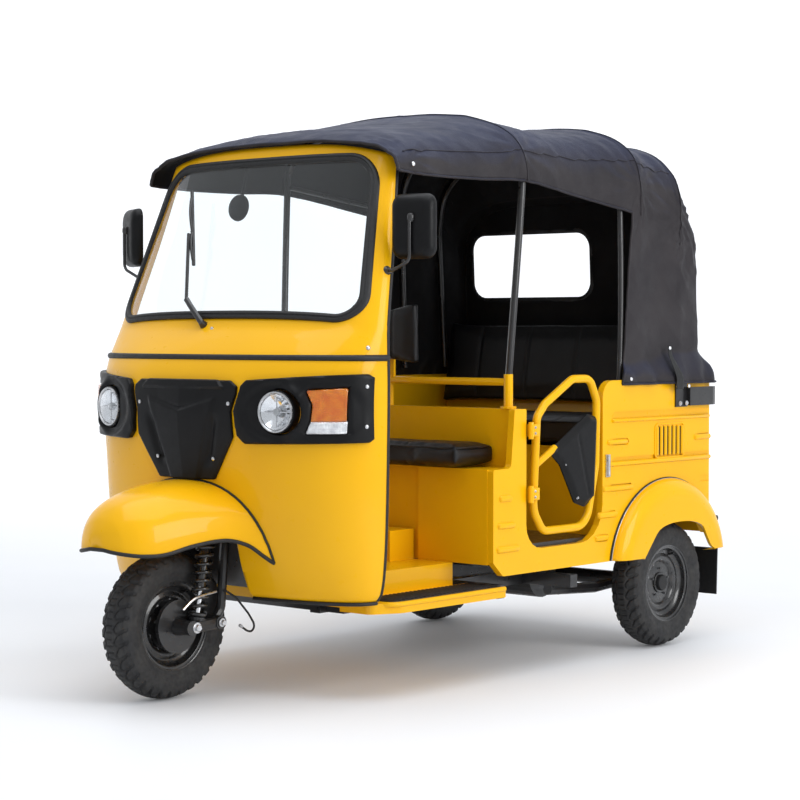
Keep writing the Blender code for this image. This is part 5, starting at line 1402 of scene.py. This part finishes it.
def ribs(x, z):
    """The ribbed face of an indicator's lens."""
    return 0.0225 + 0.0005 * math.sin(x * 900) + 0.0004 * math.sin(z * 700)


def make_indicator(suffix, side):
    """An indicator in two colours: amber above, clear below."""
    lens_outline = indicator_corners(side, 0.0015)
    amber = [(x, max(z, AMBER_FOOT_Z + LENS_GAP)) for x, z in lens_outline]
    clear = [(x, min(z, AMBER_FOOT_Z - LENS_GAP)) for x, z in lens_outline]
    for name, outline, finish, parts in (
            ("indicator_amber_", amber, "indicator_lens", ["indicator_" + suffix]),
            ("indicator_clear_", clear, "frosted_lens", [])):
        kept = [point for i, point in enumerate(outline) if point != outline[i - 1]]
        moulding(name + suffix, finish, [kept], ribs, parts, step=0.0035, edge=0.003)


def make_lamp(suffix, side):
    """One side of the lamp panel: bezel, indicator, and the round headlamp in its can."""
    make_bezel(suffix, side)
    make_indicator(suffix, side)
    centre = Vector((side * LAMP_X, LAMP_FRONT_Y, LAMP_Z))
    back = Vector((-side * math.sin(LAMP_TURN), math.cos(LAMP_TURN), 0))
    across = Vector((math.cos(LAMP_TURN), side * math.sin(LAMP_TURN), 0))
    make_piece("reflector_" + suffix, "chrome", [(add_turned, REFLECTOR, centre, back, 16)],
               replaces=["headlamp_" + suffix], slot="lamp_glass", sharp=8)
    make_piece("lamp_can_" + suffix, "black_plastic", [(add_turned, LAMP_HOUSING, centre, back, 40)])
    ring = [(add_turned, LAMP_RING, centre, back, 64),
            (add_turned, BULB_SHIELD, centre + back * 0.004, back, 24)]
    middle = centre + back * 0.010
    for reach in (across * 0.050, Vector((0, 0, 0.050))):
        ring.append((add_tube, [middle - reach, middle + reach], 0.0022, 6))
    make_piece("lamp_ring_" + suffix, "bright_steel", ring, sharp=30)
    make_piece("lamp_lens_" + suffix, "lamp_glass", [(add_turned, LAMP_LENS, centre, back, 64)], sharp=60)
    make_piece("lamp_can_" + suffix, "black_plastic", [(add_turned, LAMP_SLEEVE, centre, back, 48)])
    screws = [(add_stud, side * 0.590, z, SCREW, 0.0200, 20) for z in (1.004, 0.880)]
    make_piece("bezel_screws_" + suffix, "bright_steel", screws)


def nose_relief(x, z):
    """The nose panel's height: its lip, the raised shield with a fold, and two long hollows."""
    x = abs(x)
    wing = 0.930 + 0.24 * x
    shield = ease(wing - z, -0.004, 0.012) * ease(0.098 + 0.35 * (z - 0.80) - x, -0.006, 0.010)
    fold = max(0.0, 1 - x / 0.11)
    height = 0.0120 + shield * (0.0055 + 0.0065 * fold)
    upper = ease(z - wing, 0.0, 0.010) * ease(0.996 - z, -0.002, 0.006)
    height += 0.0050 * upper * fold
    height += 0.0085 * ease(z, 0.990, 0.998) * ease(0.168 + 1.1 * (1.015 - z) - x, 0.0, 0.008)
    middle_x = 0.128 + 0.28 * (z - 0.84)
    hollow = bell(x - middle_x, 0.016) * ease(z, 0.735, 0.785) * ease(0.925 - z, 0.0, 0.05)
    return height - 0.0090 * hollow


def make_nose_panel():
    """The V-shaped panel between the lamps."""
    corners = [
        (0.205, 1.020, 0.008), (0.234, 1.002, 0.010), (0.234, 0.978, 0.012), (0.216, 0.925, 0.02),
        (0.218, 0.842, 0.02), (0.126, 0.703, 0.012)]
    outline = rounded([(-x, z, radius) for x, z, radius in corners] + corners[::-1])
    moulding("nose_panel", "black_plastic", [outline], nose_relief, ["nose_grille"], step=0.0042, edge=0.005)
    spots = ((-0.198, 0.946), (0.210, 0.948), (-0.122, 0.772), (0.134, 0.772))
    make_piece("nose_screws", "bright_steel", [(add_stud, x, z, SCREW, 0.0125, 20) for x, z in spots])


# ---------------------------------------------------------------- front fender

# place from the front axle, half width, crown height, lower edge height
FENDER_ROWS = (
    (-0.284, 0.032, 0.553, 0.500),
    (-0.278, 0.060, 0.570, 0.495),
    (-0.260, 0.100, 0.600, 0.489),
    (-0.220, 0.138, 0.636, 0.483),
    (-0.150, 0.166, 0.667, 0.484),
    (-0.050, 0.192, 0.688, 0.506),
    (0.050, 0.232, 0.697, 0.518),
    (0.110, 0.270, 0.698, 0.500),
    (0.150, 0.305, 0.696, 0.462),
    (0.180, 0.322, 0.690, 0.440),
    (0.250, 0.330, 0.670, 0.430),
)
FENDER_TIP = FENDER_ROWS[0][0]
FENDER_COLUMNS = 89


def fender_point(place, share):
    """A point on the front fender: place from the axle, and share round its arch from the left."""
    half, crown, low = smooth_row(FENDER_ROWS, place)
    across, up = oval_point(math.pi * share, 0.85)
    return Vector((half * across, FRONT_AXLE_Y + place, low + (crown - low) * up))


def fender_end(share):
    """The place where the fender runs into the cowl."""
    place = -0.10
    while place < 0.249:
        point = fender_point(place, share)
        if point.y > face_y(point.x, point.z) - 0.001:
            break
        place += 0.0015
    return place


def make_front_fender():
    """The long fender over the front wheel, with rubber along its edge and where it meets the cowl."""
    shares = spread(0.0, 1.0, FENDER_COLUMNS)
    ends = [fender_end(share) for share in shares]
    rows = []
    for t in spread(0.0, 1.0, 61):
        reach = t ** 1.25
        rows.append([fender_point(FENDER_TIP + (end - FENDER_TIP) * reach, share)
                     for share, end in zip(shares, ends)])
    bm = bmesh.new()
    front = add_grid(bm, rows)[0]
    nose = bm.verts.new((rows[0][0] + rows[0][-1]) / 2)
    for here, there in zip(front, front[1:]):
        bm.faces.new((nose, there, here))
    fender = finish_mesh("front_fender_skin", bm, "yellow_paint", replaces=["front_fender"], sharp=60)
    solidify(fender, 0.0025)
    edge = [row[0] for row in rows][::-1] + [row[-1] for row in rows]
    make_piece("fender_edge_trim", "rubber", [(add_tube, resampled(edge, 0.010), 0.0062)])
    joint = [point + Vector((0, -0.002, 0.001)) for point in rows[-1]]
    make_piece("fender_joint_trim", "rubber", [(add_tube, resampled(joint, 0.010), 0.0042, 8)])


# ---------------------------------------------------------------- mirrors and wiper

MIRROR_TURNS = {"left": math.radians(12), "right": math.radians(-26)}
MIRROR_DEPTH = 0.034
MIRROR_BALL = ((0, -14), (8, -13), (11.8, -6), (11.8, 6), (8, 13), (0, 14))
MIRROR_FOOT = ((0, -3), (16, -3), (16.5, 4), (13, 10), (8, 14), (7, 20), (0, 21))
WIPER_CAP = ((0, 0), (14, 0), (14.5, 8), (11.5, 18), (9, 26), (0, 28))
COWL_STUD = ((0, 6), (3, 5.5), (6, 2), (6.5, -2), (0, -2))
BELT_STUD = ((0, 5), (4, 4.5), (7.5, 1), (8, -2), (0, -2))


def make_mirror(suffix, side):
    """A rear-view mirror: soft-edged head with its glass, ball joint, bent arm and foot."""
    head = Vector((side * 0.653, -0.538, 1.508))
    turn = Matrix.Rotation(MIRROR_TURNS[suffix], 3, "Z")
    outline = rounded_box(-0.076, -0.103, 0.076, 0.103, 0.034)

    def ring(scale, y):
        return [head + turn @ Vector((x * scale, y, z * scale)) for x, z in outline]

    rows = [ring(0.95, 0.0045), ring(0.985, 0.0060), ring(1.0, 0.0030)]
    for step in spread(0.0, 1.0, 12):
        angle = step * math.pi / 2
        rows.append(ring(0.30 + 0.70 * max(math.cos(angle), 0.0) ** 0.42 if step < 1 else 0.30,
                         -MIRROR_DEPTH * math.sin(angle)))
    bm = bmesh.new()
    add_grid(bm, rows, closed_columns=True)
    back = head + turn @ Vector((0, -MIRROR_DEPTH, 0))
    bmesh.ops.contextual_create(bm, geom=[vert for vert in bm.verts if (vert.co - back).length < 0.05])
    finish_mesh("mirror_head_" + suffix, bm, "black_plastic", replaces=["mirror_" + suffix], sharp=50)

    bm = bmesh.new()
    bm.faces.new([bm.verts.new(point) for point in ring(0.952, 0.0045)])
    solidify(finish_mesh("mirror_face_" + suffix, bm, "mirror_glass"), 0.002, 0.0)

    ball = head + turn @ Vector((side * 0.004, -0.036, 0.026))
    foot = Vector((side * 0.566, -0.576, 1.368))
    out = Vector((side, -0.25, 0)).normalized()
    under = Vector((ball.x, ball.y - 0.006, 0))
    arm = [foot + out * 0.004, foot + out * 0.030, under + Vector((0, 0, foot.z + 0.030)),
           under + Vector((0, 0, ball.z))]
    make_piece("mirror_arm_" + suffix, "black_paint", [
        (add_tube, bent(arm, 0.030), 0.0052, 12), (add_turned, MIRROR_BALL, ball, (0, 0, 1), 20),
        (add_turned, MIRROR_FOOT, foot, out, 24), (add_bolt, foot + out * 0.020, out, 5.5, 4)])


def make_wiper():
    """The wiper: capped pivot, cranked arm and a jointed blade that lies on the glass."""
    pivot = Vector((-0.060, -0.768, 1.192))
    out = Vector((0, -0.80, 0.60)).normalized()
    knee, hold = Vector((-0.150, -0.768, 1.284)), Vector((-0.218, -0.692, 1.505))
    low, high = Vector((-0.170, -0.715, 1.398)), Vector((-0.268, -0.628, 1.652))
    start = pivot + out * 0.021
    crank = curve_through([start, start.lerp(knee, 0.5) + out * 0.004, knee], 14)
    parts = [(add_turned, WIPER_CAP, pivot, out, 24), (add_tube, crank, 0.0098, 10, False, 0.7, out),
             (add_tube, curve_through([knee, knee.lerp(hold, 0.5), hold], 20), 0.0058, 8),
             (add_tube, [low.lerp(high, t) for t in spread(0.0, 1.0, 24)], 0.0062, 8)]
    for first, last in ((0.06, 0.44), (0.44, 0.90)):
        bridge = [low.lerp(high, t) + out * (0.004 + 0.009 * math.sin(math.pi * k / 9))
                  for k, t in enumerate(spread(first, last, 10))]
        parts.append((add_tube, bridge, 0.0048, 8))
    parts.append((add_bolt, low.lerp(high, 0.44) + out * 0.006, out, 4, 3))
    make_piece("wiper_arm", "black_paint", parts, replaces=["wiper"])
    studs = [(add_stud, -0.012, 1.186, COWL_STUD)]
    studs += [(add_stud, side * 0.588, 1.125, BELT_STUD) for side in (1, -1)]
    make_piece("cowl_studs", "bright_steel", studs)


# ---------------------------------------------------------------- body sides

BEAD_PROUD = 0.0090
# front, rear, foot and top of each pressed bead on a side panel
SIDE_BEADS = (
    (0.612, 1.250, 0.848, 0.862), (0.584, 0.708, 0.768, 0.788), (1.150, 1.258, 0.766, 0.788),
    (0.584, 1.258, 0.690, 0.708), (0.556, 0.745, 0.600, 0.622), (0.528, 0.645, 0.506, 0.530),
    (0.510, 0.590, 0.426, 0.449), (-0.040, 0.028, 0.600, 0.624), (-0.048, 0.045, 0.509, 0.532),
    (-0.054, 0.070, 0.428, 0.453),
)
LOUVRE_FRAME = (0.888, 1.078, 0.708, 0.834)
LOUVRES = 6
FENDER_CENTRE = (REAR_AXLE_Y - 0.030, 0.300)
FENDER_REACH = 0.360
FENDER_RISE = 0.331
FENDER_FOOT_Z = 0.352
FENDER_OUT = 0.054
# (place, height) points round the wheel opening in a rear fender
FENDER_OPENING = (
    (0.748, 0.352), (0.797, 0.406), (0.838, 0.446), (0.890, 0.464), (0.960, 0.471), (1.059, 0.467),
    (1.129, 0.446), (1.165, 0.400), (1.190, 0.368), (1.218, 0.352),
)
# inset from the fender's outer line, and how far it stands out there
FENDER_SECTION = ((0.0, 0.0), (0.001, 0.012), (0.006, 0.026), (0.017, 0.038), (0.036, 0.048), (0.058, 0.0525))
STEP_RIM = (
    (0.500, -0.600, 0.3080), (0.560, -0.592, 0.3080), (0.594, -0.560, 0.3075),
    (0.599, -0.480, 0.3070), (0.599, -0.200, 0.3070), (0.599, -0.008, 0.3070),
)


def add_bead(bm, side, front, rear, low, high, proud):
    """A pressed bead: a low pad with rounded ends and soft shoulders."""
    half = min(high - low, rear - front) / 2
    rows = []
    for share, out in ((0.0, -0.001), (0.12, proud * 0.35), (0.36, proud * 0.85), (0.62, proud)):
        inset = half * share
        outline = rounded_box(front + inset, low + inset, rear - inset, high - inset, (half - inset) * 0.8)
        rows.append([Vector((side * (BODY_HALF + out), y, z)) for y, z in outline])
    part = bmesh.new()
    part.faces.new(add_grid(part, rows, closed_columns=True)[-1])
    join(bm, part)


def make_body_trim(suffix, side):
    """The beads pressed into a side panel, and its louvres in their frame."""
    front, rear, low, high = LOUVRE_FRAME
    outline = rounded_box(front, low, rear, high, 0.018)
    border = [(side * (BODY_HALF + 0.0005), y, z) for y, z in outline]
    beads = [(add_bead, side, *bead, BEAD_PROUD) for bead in SIDE_BEADS]
    beads.append((add_tube, resampled(border, 0.008, closed=True), 0.0042, 8, True))
    pitch = (rear - front - 0.024) / LOUVRES
    for k in range(LOUVRES + 1):
        y = front + 0.012 + k * pitch
        beads.append((add_bead, side, y - 0.0075, y + 0.0075, low + 0.008, high - 0.008, 0.0070))
    make_piece("side_beads_" + suffix, "yellow_paint", beads, sharp=45)
    inner, outer = sorted((side * (BODY_HALF + 0.0002), side * (BODY_HALF + 0.0016)))
    slots = []
    for k in range(LOUVRES):
        y = front + 0.012 + (k + 0.5) * pitch
        slots.append((add_block, (inner, y - 0.0050, low + 0.012), (outer, y + 0.0050, high - 0.012), 0.0005))
    make_piece("louvre_slots_" + suffix, "black_plastic", slots)


def rear_fender_rows(side):
    """The rear fender's points, row by row round its arch, from the outer line in to the wheel opening."""
    middle_y, middle_z = FENDER_CENTRE
    section = smooth_profile(FENDER_SECTION, 26)
    steps = 140
    opening = curve_through([(0, y, z) for y, z in FENDER_OPENING], steps)
    start = math.asin((FENDER_FOOT_Z - middle_z) / FENDER_RISE)
    rows = []
    for angle, edge in zip(spread(start, math.pi - start, steps), opening):
        row = []
        for inset, out in section:
            y = middle_y - (FENDER_REACH - inset) * math.cos(angle)
            z = middle_z + (FENDER_RISE - inset) * math.sin(angle)
            row.append(Vector((side * (BODY_HALF + 0.0004 + out), y, z)))
        last = row[-1]
        edge = Vector((side * (BODY_HALF + 0.0004 + FENDER_OUT), edge.y, edge.z))
        row += [last.lerp(edge, share) for share in (0.2, 0.4, 0.6, 0.8, 0.93, 1.0)]
        row.append(edge + Vector((-side * 0.012, 0, 0)))
        rows.append(row)
    return rows


def make_rear_fender(suffix, side):
    """A bulged arch over the rear wheel, blended into the flat round its wheel opening."""
    rows = rear_fender_rows(side)
    below = Vector((0, 0, -0.03))
    bm = bmesh.new()
    add_grid(bm, [[point + below for point in rows[0]], *rows, [point + below for point in rows[-1]]])
    cut(bm, (0, 0, FENDER_FOOT_Z), (0, 0, 1), clear=True)
    fender = finish_mesh("fender_skin_" + suffix, bm, "yellow_paint",
                         replaces=["rear_fender_" + suffix], sharp=50)
    solidify(fender, 0.0025)
    for name, finish, column, out, radius, sides in (
            ("fender_piping_", "rubber", 0, 0.003, 0.0046, 8),
            ("fender_bright_line_", "bright_steel", 1, 0.0075, 0.0016, 6)):
        line = [(side * (BODY_HALF + out), row[column].y, row[column].z) for row in rows]
        make_piece(name + suffix, finish, [(add_tube, resampled(line, 0.012), radius, sides)])


def make_step(suffix, side):
    """The ribbed mat on the driver's step, in its rolled rim."""
    low, high = sorted((side * 0.452, side * 0.592))
    mat = [(add_block, (low, -0.560, 0.3105), (high, -0.020, 0.3160), 0.0015)]
    for k in range(26):
        y = -0.548 + k * 0.0206
        mat.append((add_block, (low + 0.008, y, 0.3150), (high - 0.008, y + 0.0085, 0.3190), 0.0012, 1))
    make_piece("step_mat_" + suffix, "ribbed_mat", mat)
    rim = curve_through(on_side(side, STEP_RIM), 60)
    make_piece("step_rim_" + suffix, "yellow_paint", [(add_tube, rim, 0.0085, 12)])


# ---------------------------------------------------------------- door

DOOR_X = 0.590
HINGE_X, HINGE_Y = 0.616, 0.116
HINGE_HEIGHTS = (0.62, 0.838)
HINGE_BARREL = ((0, -29), (8.5, -29), (9, -27), (9, 27), (8.5, 29), (0, 29))
DOOR_PATH = (
    (0.178, 0.838, 0.05), (0.160, 0.560, 0.09), (0.215, 0.486, 0.05), (0.470, 0.486, 0.08),
    (0.526, 0.700, 0.05), (0.532, 0.930, 0.06), (0.490, 1.009, 0.05), (0.385, 1.009, 0.05),
    (0.225, 0.925, 0.05), (0.180, 0.880, 0.04),
)
DOOR_COVER = (
    (0.255, 0.750, 0.015), (0.268, 0.775, 0.015), (0.470, 0.884, 0.012), (0.528, 0.870, 0.012),
    (0.512, 0.585, 0.015), (0.450, 0.556, 0.012), (0.392, 0.574, 0.02), (0.306, 0.712, 0.03),
)


def make_door():
    """The door's bent tube, its hinges, and the creased cover over its middle."""
    ride = {"body": "door_left"}
    path = [Vector((DOOR_X, y, z)) for y, z in rounded(DOOR_PATH)]
    tubes = [(add_tube, resampled(path, 0.010, closed=True), 0.0145, 16, True),
             (add_tube, [(DOOR_X, 0.166, 0.712), (DOOR_X, 0.285, 0.772)], 0.0125, 14)]
    bolts = []
    for z in HINGE_HEIGHTS:
        low, high = (HINGE_X - 0.020, HINGE_Y + 0.002, z - 0.021), (HINGE_X, HINGE_Y + 0.050, z + 0.021)
        tubes += [(add_turned, HINGE_BARREL, (HINGE_X, HINGE_Y, z), (0, 0, 1), 24), (add_block, low, high)]
        bolts += [(add_bolt, (HINGE_X, HINGE_Y + 0.024, z + up), (1, 0, 0), 3.6, 3) for up in (0.010, -0.010)]
    make_piece("door_tube", "yellow_paint", tubes, replaces=["door_frame"], sharp=45, **ride)
    make_piece("hinge_bolts", "bright_steel", bolts, **ride)
    outline = rounded(DOOR_COVER)

    def place(y, z, low):
        if low:
            return Vector((DOOR_X + 0.001, y, z))
        distance = edge_distance(outline, y, z)
        crease = bell((y - 0.430) * 0.93 + (z - 0.72) * 0.28, 0.004)
        height = 0.006 + 0.012 * ease(distance, 0.0, 0.020) - 0.0025 * crease * ease(distance, 0.02, 0.045)
        return Vector((DOOR_X + height, y, z))

    bm = skirted(filled(outline, [], 0.007), place)
    finish_mesh("door_cover", bm, "black_plastic", replaces=["door_plate"], sharp=50, **ride)
    spots = ((0.330, 0.712), (0.402, 0.592))
    screws = [(add_bolt, (DOOR_X + 0.013, y, z), (1, 0, 0), 5, 3.5) for y, z in spots]
    make_piece("door_cover_screws", "bright_steel", screws, **ride)


# ---------------------------------------------------------------- front suspension and brake

SPRING_FOOT = Vector((0.096, FRONT_AXLE_Y + 0.052, AXLE_Z + 0.030))
SPRING_HEAD = Vector((0.096, FRONT_AXLE_Y + 0.100, 0.545))
SPRING_TURNS = 9.5
SPRING_SEAT = ((0, -6), (27, -6), (30, -3), (30, 3), (27, 6), (0, 6))
DAMPER = ((0, 0), (16.5, 0), (16.5, 170), (14, 174), (0, 174))
DAMPER_ROD = ((0, 0), (8.5, 0), (8.5, 100), (0, 100))
BRAKE_LEVER = (
    (0.122, FRONT_AXLE_Y - 0.034, 0.297), (0.124, FRONT_AXLE_Y + 0.020, 0.330),
    (0.124, FRONT_AXLE_Y + 0.110, 0.343),
)
HOSE_ROUTE = (
    (0.119, -0.860, 0.345), (0.138, -0.825, 0.318), (0.144, -0.775, 0.262), (0.142, -0.748, 0.228),
    (0.140, -0.744, 0.212), (0.138, -0.754, 0.200), (0.135, -0.771, 0.203), (0.132, -0.795, 0.220),
)
HOSE_RADIUS = 0.0035
FERRULE = ((0, -4), (4.6, -4), (5, -2), (5, 8), (3.2, 10), (0, 12))


def make_spring():
    """The coil spring on its damper, and the pins and lever beside the front hub."""
    axis = (SPRING_HEAD - SPRING_FOOT).normalized()
    side = axis.orthogonal().normalized()
    other = axis.cross(side)
    length = (SPRING_HEAD - SPRING_FOOT).length
    coil = []
    for t in spread(0.0, 1.0, 241):
        angle = math.tau * SPRING_TURNS * t
        out = (side * math.cos(angle) + other * math.sin(angle)) * 0.0250
        coil.append(SPRING_FOOT + axis * (0.014 + (length - 0.028) * t) + out)
    parts = [(add_tube, coil, 0.0058)]
    for along in (0.007, length - 0.007):
        parts.append((add_turned, SPRING_SEAT, SPRING_FOOT + axis * along, axis, 36))
    parts.append((add_turned, DAMPER, SPRING_FOOT + axis * 0.095, axis, 28))
    make_piece("coil_spring", "wheel_steel", parts, body="steering", replaces=["front_spring"])
    make_piece("damper_rod", "chrome", [(add_turned, DAMPER_ROD, SPRING_FOOT + axis * 0.006, axis, 20)],
               body="steering")
    make_piece("link_bolts", "bright_steel", [
        (add_bolt, (0.131, FRONT_AXLE_Y + 0.018, 0.236), (1, 0, 0), 12, 10),
        (add_bolt, (0.132, FRONT_AXLE_Y + 0.128, 0.242), (1, 0, 0), 9.6, 10),
        (add_tube, curve_through(BRAKE_LEVER, 16), 0.0042, 8)], body="steering")


def make_cable():
    """The brake hose: it leaves the fork, hangs in a hook, and ends in a ferrule beside the hub."""
    path = curve_through(bent(HOSE_ROUTE, 0.05), 70)
    cable = make_piece("brake_hose", "rubber", [(add_tube, path, HOSE_RADIUS, 12)],
                       body="steering", replaces=["brake_cable"])
    ferrule = make_piece("hose_ferrule", "bright_steel",
                         [(add_turned, FERRULE, path[-1], path[-1] - path[-4], 20)], body="steering")
    length = sum((b - a).length for a, b in zip(path, path[1:]))
    tuple(path[0])
    [tuple(point) for point in path]


# ---------------------------------------------------------------- rear end and cabin

REAR_BEAD_FEET = (0.794, 0.700, 0.606)
REAR_PANEL_Y = 1.280
BUFFER = ((0, 0), (11, 0), (12, 22), (9, 30), (0, 32))
CABIN_MIRROR = ((0, 0), (40, 2), (46, 7), (44, 15), (34, 21), (0, 23))


def make_rear_details():
    """The rear panel's beads, and the screws, tail lamps and buffers round it."""
    bm = bmesh.new()
    for low in REAR_BEAD_FEET:
        add_bead(bm, 1, -0.43, 0.43, low, low + 0.024, BEAD_PROUD)
    to_rear = Matrix.Translation((0, REAR_PANEL_Y - BODY_HALF, 0)) @ Matrix.Rotation(math.pi / 2, 4, "Z")
    bmesh.ops.transform(bm, matrix=to_rear, verts=bm.verts)
    finish_mesh("rear_beads", bm, "yellow_paint", sharp=45)
    screws = []
    for side in (1, -1):
        for y, z in ((1.023, 0.972), (1.023, 0.908), (1.066, 0.908)):
            screws.append((add_bolt, (side * 0.6215, y, z), (side, 0, 0), 6.2, 4, 16))
        screws += [(add_bolt, (side * 0.55, 1.303, z), (0, 1, 0)) for z in (0.30, 0.325)]
    make_piece("plate_screws", "bright_steel", screws)
    for suffix, side in SIDES:
        low, high = sorted((side * 0.517, side * 0.561))
        make_piece("tail_lamp_base_" + suffix, "black_plastic",
                   [(add_block, (low, 1.2790, 0.524), (high, 1.2900, 0.586), 0.003)])
        steps = [(add_block, (low + 0.004, 1.2885, z), (high - 0.004, 1.3120, z + 0.0170), 0.004, 3)
                 for z in spread(0.528, 0.565, 3)]
        make_piece("tail_lens_" + suffix, "tail_lens", steps, replaces=["tail_lamp_" + suffix])
    make_piece("fender_buffer", "rubber", [
        (add_turned, BUFFER, (side * 0.596, 1.270, 0.462), (side * 0.85, 0.5, 0), 20) for side in (1, -1)])


def make_cabin():
    """The cabin mirror behind the glass, and the grips of the handlebar."""
    head = Vector((-0.120, -0.540, 1.592))
    make_piece("cabin_mirror", "black_plastic", [
        (add_turned, CABIN_MIRROR, head, (0, -1, 0.15), 40),
        (add_tube, [head + Vector((0, 0, 0.02)), (-0.120, -0.500, 1.760)], 0.006)])
    grip = [(0, 0), (19, 0), (19.5, 3), (16.5, 6)]
    for k in range(10):
        along = 10 + k * 7.2
        grip += [(16.5, along), (17.8, along + 1.8), (17.8, along + 4.5), (16.5, along + 6.2)]
    grip += [(15, 86), (0, 88)]
    for suffix, side in SIDES:
        start, end = Vector((side * 0.225, -0.560, 1.062)), Vector((side * 0.308, -0.585, 1.066))
        make_piece("grip_" + suffix, "rubber", [(add_turned, grip, start, end - start, 28)], body="steering")


# ---------------------------------------------------------------- camera, floor and light

CAMERA_TURN = math.radians(40.883)
SKY = (0.93, 0.96, 1.0)


def make_camera():
    camera = placed("camera", bpy.data.cameras.new("camera"))
    camera.location = (5.0077, -5.6406, 1.1801)
    camera.rotation_euler = (math.radians(88.118), 0.0, CAMERA_TURN)
    camera.data.lens = 95.49
    camera.data.sensor_width = 36.0
    bpy.context.scene.camera = camera


def floor_material():
    """Pale floor; far behind the vehicle it glows faintly, so that the backdrop stays white."""
    made = Finish("studio_floor", (0.80, 0.81, 0.83), 0.6, Emission_Color=(1.0, 1.0, 1.0, 1.0))
    away = made.node("VectorMath", Vector=made.place)
    away.operation = "DOT_PRODUCT"
    away.inputs[1].default_value = (-0.654, 0.756, 0.0)
    made.link(made.remap(away.outputs["Value"], 1.5, 9.0, 0.03, 0.48), "Emission Strength")
    made.vary(1.5, (0.795, 0.805, 0.825), (0.805, 0.815, 0.835))
    return made.material


def make_floor():
    """A pale floor that curves up into a backdrop far behind."""
    half, far, bend = 40.0, 14.0, 3.0
    profile = [(-30.0, 0.0), (far, 0.0)]
    for angle in spread(0.0, math.pi / 2, 17)[1:]:
        profile.append((far + bend * math.sin(angle), bend * (1 - math.cos(angle))))
    profile.append((far + bend, 25.0))
    turn = Matrix.Rotation(CAMERA_TURN, 3, "Z")
    bm = bmesh.new()
    add_grid(bm, [[turn @ Vector((x, y, z - 0.0005)) for y, z in profile] for x in (half, -half)])
    mesh_object("studio_floor", bm, floor_material())


def area_light(name, place, aim, size, power, colour=(1.0, 1.0, 1.0)):
    light = bpy.data.lights.new(name, "AREA")
    light.shape = "RECTANGLE"
    light.size, light.size_y = size
    light.energy = power
    light.color = colour
    lamp = placed(name, light)
    lamp.location = place
    lamp.rotation_euler = (Vector(aim) - Vector(place)).to_track_quat("-Z", "Y").to_euler()


def make_lights():
    world = bpy.data.worlds.new("studio")
    world.use_nodes = True
    background = world.node_tree.nodes["Background"]
    background.inputs["Color"].default_value = (*SKY, 1.0)
    background.inputs["Strength"].default_value = 0.66
    bpy.context.scene.world = world
    bpy.context.scene.view_settings.view_transform = "Standard"
    area_light("top", (0.5, -0.5, 5.0), (0, 0, 0.8), (5.0, 5.0), 175, SKY)
    area_light("key", (5.8, 0.6, 2.8), (0, 0.2, 0.9), (3.2, 3.0), 165)


def both_sides(make):
    for suffix, side in SIDES:
        make(suffix, side)


make_camera()
dress_nodes()
make_cowl()
make_gasket()
make_glass()
make_cowl_trim()
make_canopy()
make_canopy_seams()
make_canopy_fittings()
make_canopy_frame()
make_seats()
make_wheels()
both_sides(make_lamp)
make_nose_panel()
make_front_fender()
both_sides(make_mirror)
make_wiper()
both_sides(make_body_trim)
both_sides(make_rear_fender)
both_sides(make_step)
make_door()
make_spring()
make_cable()
make_rear_details()
make_cabin()
make_floor()
make_lights()
